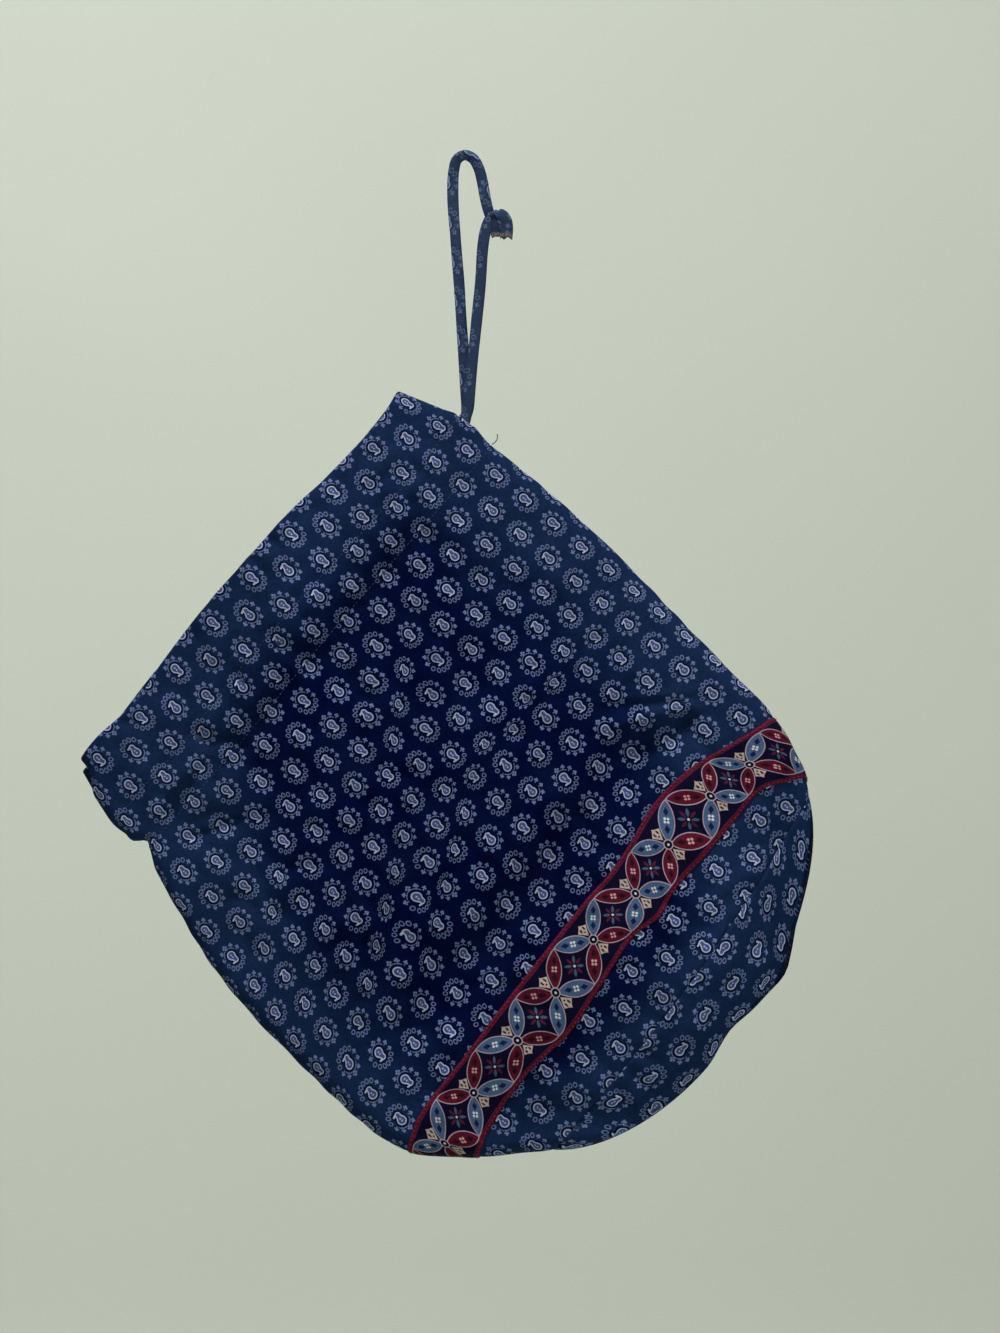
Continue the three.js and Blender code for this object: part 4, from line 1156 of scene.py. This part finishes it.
def makeKnot():
    grids, uvs, faceSets, rawSets, start = [], [], [], [], 0
    sides, flatWay = knot["sides"], np.array(knot["flatWay"])
    turn = np.linspace(0, 2 * np.pi, sides + 1)
    for n, (points, width, thickness) in enumerate(knot["wraps"]):
        path, stations, _ = smoothPath(np.array(points) * mm, knot["spacing"] * mm)
        grid, uv = flatTube(path, stations, flatWay, np.zeros(len(path)), width, thickness, sides)
        faces = gridFaces(grid, start)
        raw = knot["rawRings"] * sides
        end = unit(path[-1] - path[-3])
        fray = sum(height * np.sin(count * turn + shift * n) for height, count, shift in knot["fray"])
        grid[-2] += fray[:, None] * end * mm
        grid[-1] -= knot["sunk"] * end * mm
        faceSets.append(faces[:-raw])
        rawSets.append(faces[-raw:])
        grids.append(grid.reshape(-1, 3))
        uvs.append(uv.reshape(-1, 2) + knot["cutFrom"] + n * np.array(knot["cutNext"]))
        start += grid.shape[0] * grid.shape[1]
    rings, columns = knot["coreGrid"]
    polar, turn = np.meshgrid(np.linspace(0, np.pi, rings), np.linspace(0, 2 * np.pi, columns), indexing="ij")
    ball = np.stack([np.sin(polar) * np.cos(turn), np.sin(polar) * np.sin(turn), np.cos(polar)], -1)
    swell = 1 + knot["coreSwell"] * np.sin(3 * turn + 2 * polar) * np.sin(polar)
    ball = (ball * knot["coreRadii"] * swell[..., None] + knot["coreMiddle"]) * mm
    faceSets.append(gridFaces(ball, start))
    grids.append(ball.reshape(-1, 3))
    uvs.append((np.stack([turn, polar], -1) * knot["coreCloth"]).reshape(-1, 2))
    faceSets = [np.concatenate(faceSets), np.concatenate(rawSets)]
    grid, uv = np.concatenate(grids), np.concatenate(uvs)
    return makePiece("knot_tied", grid, faceSets, uv, [cordCotton, rawCotton])


knotPiece = makeKnot()


# Panels: up the outside from the base seam, over the rim and down the turned-in hem
panel = dict(
    front=dict(turnColumns=10, flatColumns=184, rows=188),
    back=dict(turnColumns=10, flatColumns=104, rows=150),
    foldRows=8,
    hemRows=30,
    seamGroove=0.3,
    seamReach=2.0,
    foldCloth=1.6,  # print taken up over the rim, for each radian
    turnCloth=120,  # print taken up round the side turns, for each whole width
    backPrint=(11.0, 7.0),  # where the back was cut from the print
)


def acrossOf(setup):
    turn = np.linspace(0, bag["seamPast"], setup["turnColumns"] + 1)
    flat = np.linspace(0, 1, setup["flatColumns"] + 1)
    return np.concatenate([turn - bag["seamPast"], flat[1:-1], 1 + turn])


def pastTurns(across):  # how far round a side turn a place lies, and 0 between them
    return across - np.clip(across, 0, 1)


# Painted shade: the middle of each panel is darkened in its colour, as if in shade, against edges whose dye
# has faded
shadeAndFadeSetup = dict(
    left=(8, 104),  # how far in from each edge the faded cloth gives way to the painted shade of the middle
    right=(18, 105),
    top=(16, 90),
    bottom=(3, 38),
    bottomDrop=412,
    corners=(  # a place on the edge of each faded corner, where no shade is painted, the way in, and from where to where along it
        (-108, 137, 0.795, 0.607, -36, 36),
        (147, 275, -0.784, -0.62, -30, 30),
    ),
    power=0.8,
    cloud=0.05,  # how uneven the dye and the painted shade are, in clouds like the crumple's
    cloudScale=0.8,
    cloudShift=50,
)


def shadeAndFadeMap(x, drop):  # 0 where the dye has faded, along the hem and the seams, to 1 in the middle, where shade is painted most
    left, right = (readTable(bag["sections"], "drop", drop, name) for name in ("left", "right"))
    shadeAndFade = ramp(x - left, *shadeAndFadeSetup["left"]) * ramp(right - x, *shadeAndFadeSetup["right"]) * ramp(drop, *shadeAndFadeSetup["top"])
    for cornerX, cornerDrop, inX, inDrop, start, end in shadeAndFadeSetup["corners"]:
        shadeAndFade = shadeAndFade * ramp((x - cornerX) * inX + (drop - cornerDrop) * inDrop, start, end)
    shadeAndFade = shadeAndFade * ramp(shadeAndFadeSetup["bottomDrop"] - drop, *shadeAndFadeSetup["bottom"])
    cloud = sway(x * shadeAndFadeSetup["cloudScale"] + shadeAndFadeSetup["cloudShift"], drop * shadeAndFadeSetup["cloudScale"])
    return np.clip(shadeAndFade ** shadeAndFadeSetup["power"] - shadeAndFadeSetup["cloud"] * (1 + cloud), 0, 1)


def makePanel(side):
    setup = panel[side["name"]]
    across = acrossOf(setup)[None, :]
    seam = seamDrop(across)
    fold = cloth["fold"]
    wall = fold + (seam - fold) * np.linspace(1, 0, setup["rows"])[:, None]
    groove = panel["seamGroove"] * bell(seam - wall, panel["seamReach"])
    bend = np.linspace(0, np.pi, panel["foldRows"] + 2)[1:-1, None] + 0 * across
    hem = np.linspace(fold, casing["hemEnd"], panel["hemRows"])[:, None] + 0 * across
    opening, closing = hem - casing["top"], casing["bottom"] - hem
    hemOff = np.clip(opening / casing["hemEase"], 0, 1) * np.clip(closing / casing["hemEase"], 0, 1)
    hemIn = 2 * fold + casing["hemOff"] * hemOff
    grids = []
    for inward in (0, cloth["thickness"]):  # the cloth's two faces
        drops = (wall, fold - (fold - inward) * np.sin(bend), hem)
        insets = (groove + inward, fold - (fold - inward) * np.cos(bend), hemIn - inward)
        rows = [wallPoint(side, across + 0 * drop, drop, inset, slit=drop is wall)
                for drop, inset in zip(drops, insets)]
        grids.append(np.concatenate(rows))
    shown = grids[0][: setup["rows"]]
    x, seen = seenPlace(shown) if side is front else (shown[..., 0], wall)
    past = np.concatenate([panel["foldCloth"] * bend, panel["foldCloth"] * np.pi + hem - fold])
    x = np.concatenate([x, np.repeat(x[-1:], len(past), 0)])
    flatDrop = np.concatenate([seen, seen[-1:] - past])
    uv = printPlace(side, x + pastTurns(across) * panel["turnCloth"], flatDrop)
    if side is back:
        uv = uv * (-1, 1) + panel["backPrint"]
    points, faceSets = closedWall(toWorld(grids[0]), toWorld(grids[1]))
    faceSets = [faceSets[0], np.concatenate(faceSets[1:])]
    uv = np.concatenate([uv.reshape(-1, 2)] * 2)
    # painted shade: the panel's middle is darkened in its colour, its edges left faded
    shadeAndFade = shadeAndFadeMap(grids[0][..., 0], -grids[0][..., 2])
    shadeAndFade = np.concatenate([shadeAndFade.ravel()] * 2)
    name = side["name"] + "_panel_cloth"
    return makePiece(name, points, faceSets, uv, [foulardCotton, reverseCotton], shadeAndFade)


frontPanel = makePanel(front)
backPanel = makePanel(back)

# Band: a strip of border cotton laid on the wall, its long edges turned under
bandPiece = dict(
    columns=230,
    rows=16,
    lift=0.3,
    thick=0.9,
    edgeThick=0.35,  # its share of that at the turned edges, and how sharply they turn
    edgeTurn=10,
    turnCloth=240,
    backPrint=11,
    crosses=tableOf(
        "x count",
        (-196, -0.55),
        (-173.9, 0),
        (-134, 1),
        (-87.3, 2),
        (-46.1, 3),
        (-2.0, 4),
        (39.8, 5),
        (79.1, 6),
        (123.2, 7),
        (155.9, 8),
        (190, 8.8),
    ),
)


def makeBand(side):
    setup = bandPiece
    across = np.linspace(-bag["seamPast"], 1 + bag["seamPast"], setup["columns"])[None, :]
    share = np.linspace(0, 1, setup["rows"])[:, None]
    top, bottom = bandEdge(side, across, "top"), bandEdge(side, across, "bottom")
    drop = top + (bottom - top) * share
    across = across + 0 * drop
    rounding = 1 - np.abs(2 * share - 1) ** setup["edgeTurn"]
    thick = setup["thick"] * (setup["edgeThick"] + (1 - setup["edgeThick"]) * rounding) + 0 * across
    outer = wallPoint(side, across, drop, -setup["lift"] - thick)
    inner = wallPoint(side, across, drop, -setup["lift"])
    x = wallSurface(side, across, drop)[..., 0]
    past = pastTurns(across) * setup["turnCloth"]
    if side is front:
        u = np.interp(x, setup["crosses"]["x"], setup["crosses"]["count"]) * border["cross"] + past
    else:
        u = -x + past + setup["backPrint"]
    v = border["half"] * (1 - 2 * share) + 0 * u
    uv = np.concatenate([np.stack([u, v], -1).reshape(-1, 2)] * 2)
    points, faceSets = closedWall(toWorld(outer), toWorld(inner))
    return makePiece("band_" + side["name"] + "_cloth", points, [np.concatenate(faceSets)], uv, [bandCotton])


bandFront = makeBand(front)
bandBack = makeBand(back)

# Base: an oval bottom panel, a bowl hung from the seam
basePiece = dict(
    rings=34,
    ease=(1.1, 0.95),
    cutFrom=(10.4, 21.1),
    endFade=3,
    inside=(0, -4, -380),  # a place within the bag, to tell the cloth's two faces by
    sagPower=1.5,
    sag=tableOf(  # how much lower than an even bowl the bottom line hangs
        "x drop",
        (-150, 0),
        (-20, 0),
        (10, -4.2),
        (30, 0),
        (45, 3.2),
        (64, 7.4),
        (80, 4.2),
        (96, 0.5),
        (160, 0),
    ),
)


def makeBase():
    fronts = acrossOf(panel["front"])
    backs = acrossOf(panel["back"])[::-1]
    share = np.linspace(0, 1, basePiece["rings"])[:, None]
    start = bag["baseStart"]
    angle = start + (np.pi / 2 - start) * share
    reach = np.cos(angle) / math.cos(start)
    sink = (np.sin(angle) - math.sin(start)) / (1 - math.sin(start))
    poleX, poleY = bag["basePole"]
    outers, uvs = [], []
    for side, across in ((front, fronts[None, :]), (back, backs[None, :])):
        seam = seamDrop(across) + bag["seamGap"]
        edge = wallSurface(side, across, seam)[0]
        x = poleX + (edge[:, 0] - poleX) * reach
        drop = seam + (bag["baseBottom"] - seam) * sink
        y = poleY + (edge[:, 1] - poleY) * reach
        if side is front:  # the bottom line, from one end of the seam to the other
            ends = [np.concatenate([grid[:, 0], grid[::-1, -1]]) for grid in (x, drop, y)]
        below, behind = (np.interp(x, ends[0], end) for end in ends[1:])
        order = np.argsort(edge[:, 0])
        above = np.interp(x, edge[order, 0], seam[0, order])
        sag = readTable(basePiece["sag"], "x", x, "drop")
        hung = np.clip((drop - above) / np.maximum(below - above, 1), 0, 1)
        drop = drop + sag * hung ** basePiece["sagPower"]
        bow = np.sin(np.pi * np.clip(across, 0, 1))
        gathered = gathers(edge[:, 0]) * np.minimum(1, puckers["gatherFade"] * bow)
        y = y - side["sign"] * gathered * (reach - bell(drop - seam, puckers["gatherReach"]))
        if side is front:
            y = y + cornerBack(x, drop) - cornerBack(edge[:, 0], seam) * reach
            relief = frontFolds(x, drop) + fineRelief(x, drop)
            fading = np.minimum(1, folds["fade"] * bow) * np.minimum(1, basePiece["endFade"] * (1 - share))
            y = y - (relief - relief[:1] * (1 - share)) * fading
        y = y - side["sign"] * panel["seamGroove"] * bell(drop - seam, panel["seamReach"])
        outers.append(np.stack([x, y, -drop], -1))
        off = side["sign"] * np.hypot(below + sag - drop, behind - y)
        uvs.append(np.stack([off, -x], -1) * basePiece["ease"] + basePiece["cutFrom"])
    outer, uv = (np.concatenate([*grids, grids[0][:, :1]], 1) for grids in (outers, uvs))
    alongRing = np.gradient(outer, axis=1)
    alongRing[:, 0] = alongRing[:, -1] = outer[:, 1] - outer[:, -2]
    normal = np.cross(alongRing, np.gradient(outer, axis=0))
    normal[-1] = (0, 0, -1)
    normal = unit(normal)
    facing = np.sum(normal * (outer - np.array(basePiece["inside"])), -1, keepdims=True)
    normal = np.where(facing < 0, -normal, normal)
    inner = outer - cloth["thickness"] * normal
    points, faceSets = closedWall(toWorld(outer), toWorld(inner))
    uv = np.concatenate([uv.reshape(-1, 2)] * 2)
    rim = faceSets[2][: outer.shape[1] - 1]  # only the seam's edge is open: the ring meets itself
    faceSets = [faceSets[0], np.concatenate([faceSets[1], rim])]
    return makePiece("base_cloth", points, faceSets, uv, [foulardCotton, reverseCotton])


base = makeBase()

# Stitches: short thread bumps along lines sewn through the cloth
stitchRows = dict(
    length=2.2,
    gap=1.1,
    radius=0.28,
    proud=0.15,
    linePoints=260,
    casingSpan=(-0.04, 1.04),
    casingStray=(0.8, 9),  # how far the sewn lines stray, and how quickly
    bandSpan=(-0.045, 1.045),
    bandIn=1.3,
)


def stitchTree():
    tree = bpy.data.node_groups.new("run of stitches", "GeometryNodeTree")
    node = functools.partial(addNode, tree)
    for name, kind in (("Line", "Geometry"), ("Pitch", "Float"), ("Length", "Float"), ("Radius", "Float"),
                       ("Thread", "Material")):
        tree.interface.new_socket(name, in_out="INPUT", socket_type="NodeSocket" + kind)
    tree.interface.new_socket("Stitches", in_out="OUTPUT", socket_type="NodeSocketGeometry")
    given = node("NodeGroupInput").node.outputs
    points = node("GeometryNodeResampleCurve", {"Curve": given["Line"], "Length": given["Pitch"]},
                  mode="LENGTH")
    bead = node("GeometryNodeMeshUVSphere", {"Segments": 6, "Rings": 4, "Radius": 1.0})
    turn = node("FunctionNodeAlignRotationToVector", {"Vector": node("GeometryNodeInputTangent")}, axis="X")
    half = node("Math MULTIPLY", [given["Length"], 0.5])
    size = node("CombineXYZ", [half, given["Radius"], given["Radius"]])
    copies = node("GeometryNodeInstanceOnPoints",
                  {"Points": points, "Instance": bead, "Rotation": turn, "Scale": size})
    real = node("GeometryNodeRealizeInstances", {"Geometry": copies})
    done = node("GeometryNodeSetMaterial", {"Geometry": real, "Material": given["Thread"]})
    node("NodeGroupOutput", [done])
    return tree


stitchNodes = stitchTree()


def sewStitches(name, lines, thread):  # lines are arrays of points in metres
    curve = bpy.data.curves.new(name, "CURVE")
    curve.dimensions = "3D"
    for line in lines:
        spline = curve.splines.new("POLY")
        spline.points.add(len(line) - 1)
        spline.points.foreach_set("co", np.column_stack([line, np.ones(len(line))]).ravel())
    sewn = addObject(name + "_line", curve)
    modifier = sewn.modifiers.new("stitches", "NODES")
    modifier.node_group = stitchNodes
    sockets = {s.name: s.identifier for s in stitchNodes.interface.items_tree if s.in_out == "INPUT"}
    modifier[sockets["Pitch"]] = (stitchRows["length"] + stitchRows["gap"]) * mm
    modifier[sockets["Length"]] = stitchRows["length"] * mm
    modifier[sockets["Radius"]] = stitchRows["radius"] * mm
    modifier[sockets["Thread"]] = thread
    bpy.context.view_layer.update()
    mesh = bpy.data.meshes.new_from_object(sewn.evaluated_get(bpy.context.evaluated_depsgraph_get()))
    sewn.modifiers.remove(modifier)
    bpy.data.objects.remove(sewn)
    mesh.name = name
    mesh.polygons.foreach_set("use_smooth", np.ones(len(mesh.polygons), bool))
    print("sewed", name, "with", len(mesh.polygons), "faces")
    return addObject(name, mesh)


def casingSeams(side):
    across = np.linspace(*stitchRows["casingSpan"], stitchRows["linePoints"])
    stray, pace = stitchRows["casingStray"]
    drops = [line + stray * np.sin(across * pace + line) for line in puckers["casingLines"]]
    return [toWorld(wallPoint(side, across, drop, -stitchRows["proud"])) for drop in drops]


def bandSeams(side):
    across = np.linspace(*stitchRows["bandSpan"], stitchRows["linePoints"])
    out = bandPiece["lift"] + bandPiece["thick"] + stitchRows["proud"] / 2
    drops = (bandEdge(side, across, "top") + stitchRows["bandIn"],
             bandEdge(side, across, "bottom") - stitchRows["bandIn"])
    return [toWorld(wallPoint(side, across, drop, -out)) for drop in drops]


casingStitches = sewStitches("casing_stitches", casingSeams(front) + casingSeams(back), navyThread)
bandStitches = sewStitches("band_stitches", bandSeams(front) + bandSeams(back), crimsonThread)


# A loose end of the casing's thread at the right-hand seam
looseEnd = dict(
    points=((208.6, -0.6, -74.2), (211.4, -1.4, -75.0), (214.2, -1.8, -74.4), (216.4, -2.2, -72.6)),
    radius=0.3,
    spacing=0.6,
    sides=8,
    flatWay=(0, 1.0, 0),
)


def makeLooseEnd():
    path, stations, _ = smoothPath(toWorld(np.array(looseEnd["points"])), looseEnd["spacing"] * mm)
    size, level = 2 * looseEnd["radius"], np.zeros(len(path))
    flatWay = np.array(looseEnd["flatWay"])
    grid, uv = flatTube(path, stations, flatWay, level, size, size, looseEnd["sides"])
    return makePiece("loose_thread", grid.reshape(-1, 3), [gridFaces(grid)], uv.reshape(-1, 2), [navyThread])


loosePiece = makeLooseEnd()


# Stage: a pale floor that sweeps up far behind, and soft light
stage = dict(
    floorZ=-2.1,
    backY=3.0,
    halfWidth=16.0,
    frontY=-16.0,
    bend=1.0,
    rise=5.0,
    steps=24,
    colour="#d5dad0",
    cloudScale=1.2,
    tone=(0.98, 1.02),
)


def makeStage():
    bend, backY = stage["bend"], stage["backY"]
    run = [(stage["frontY"], 0.0)]
    for turn in np.linspace(0, np.pi / 2, stage["steps"]):
        run.append((backY - bend + bend * math.sin(turn), bend * (1 - math.cos(turn))))
    run.append((backY, stage["rise"]))
    sides = (-stage["halfWidth"], stage["halfWidth"])
    points = [(x, y, stage["floorZ"] + z) for y, z in run for x in sides]
    faces = [(2 * i, 2 * i + 1, 2 * i + 3, 2 * i + 2) for i in range(len(run) - 1)]
    mesh = bpy.data.meshes.new("studio_sweep")
    mesh.from_pydata(points, [], faces)
    mesh.polygons.foreach_set("use_smooth", np.ones(len(faces), bool))
    material, node = newMaterial("matt paper sweep")
    place = node("TexCoord").node.outputs["Object"]
    cloud = node("TexNoise", {"Vector": place, "Scale": stage["cloudScale"]})
    tone = node("MapRange", [cloud, *noiseSpan, *stage["tone"]])
    colour = node("VectorMath SCALE", {0: linear(stage["colour"])[:3], 3: tone})
    shader = node("BsdfPrincipled", {"Base Color": colour, "Roughness": 0.95, "Specular IOR Level": 0.1})
    node("OutputMaterial", [shader])
    mesh.materials.append(material)
    addObject("studio_sweep", mesh)


lights = dict(
    # name: place in metres, what it points at, size across, power in watts, colour
    key=((-0.85, -1.6, 3.2), (0, 0, -0.38), 1.2, 178, "#fbfaf6"),
    fill=((1.45, -0.9, -0.25), (0.1, 0, -0.45), 0.8, 9, "#f2f8f2"),
    front=((0.1, -2.6, 0.2), (0, 0, -0.38), 1.6, 4, "#fbfbff"),
    sweep=((-0.9, 1.0, 1.7), (-0.3, 3.0, -0.1), 2.2, 26, "#fafdfc"),
)
room = dict(colour="#eef0e6", strength=0.15)


def addLights():
    for name, (place, aim, size, power, colour) in lights.items():
        data = bpy.data.lights.new(name, "AREA")
        data.size = size
        data.energy = power
        data.color = linear(colour)[:3]
        lamp = addObject(name, data)
        lamp.location = place
        lamp.rotation_euler = (Vector(aim) - Vector(place)).to_track_quat("-Z", "Y").to_euler()
        lamp.visible_camera = False
    world = bpy.data.worlds.new("soft room")
    world.use_nodes = True
    ambient = world.node_tree.nodes["Background"].inputs
    ambient["Color"].default_value = linear(room["colour"])
    ambient["Strength"].default_value = room["strength"]
    bpy.context.scene.world = world
    bpy.context.scene.view_settings.view_transform = "Standard"


makeStage()
addLights()
print("stage and lights set")

# What each piece is: its place on the body, the solid it stands for, and its finish
for piece, node, slot in (
    (frontPanel, "front_panel", "print_cotton"),
    (backPanel, "back_panel", "print_cotton"),
    (base, "base", "print_cotton"),
    (bandFront, "band_front", "border_cotton"),
    (bandBack, "band_back", "border_cotton"),
    (drawstring, "drawstring", "cord_cotton"),
    (knotPiece, "knot", "cord_cotton"),
    (casingStitches, None, "print_cotton"),
    (bandStitches, None, "border_cotton"),
    (loosePiece, None, "print_cotton"),
):
    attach(piece, "root")
    if node:
        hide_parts(node)
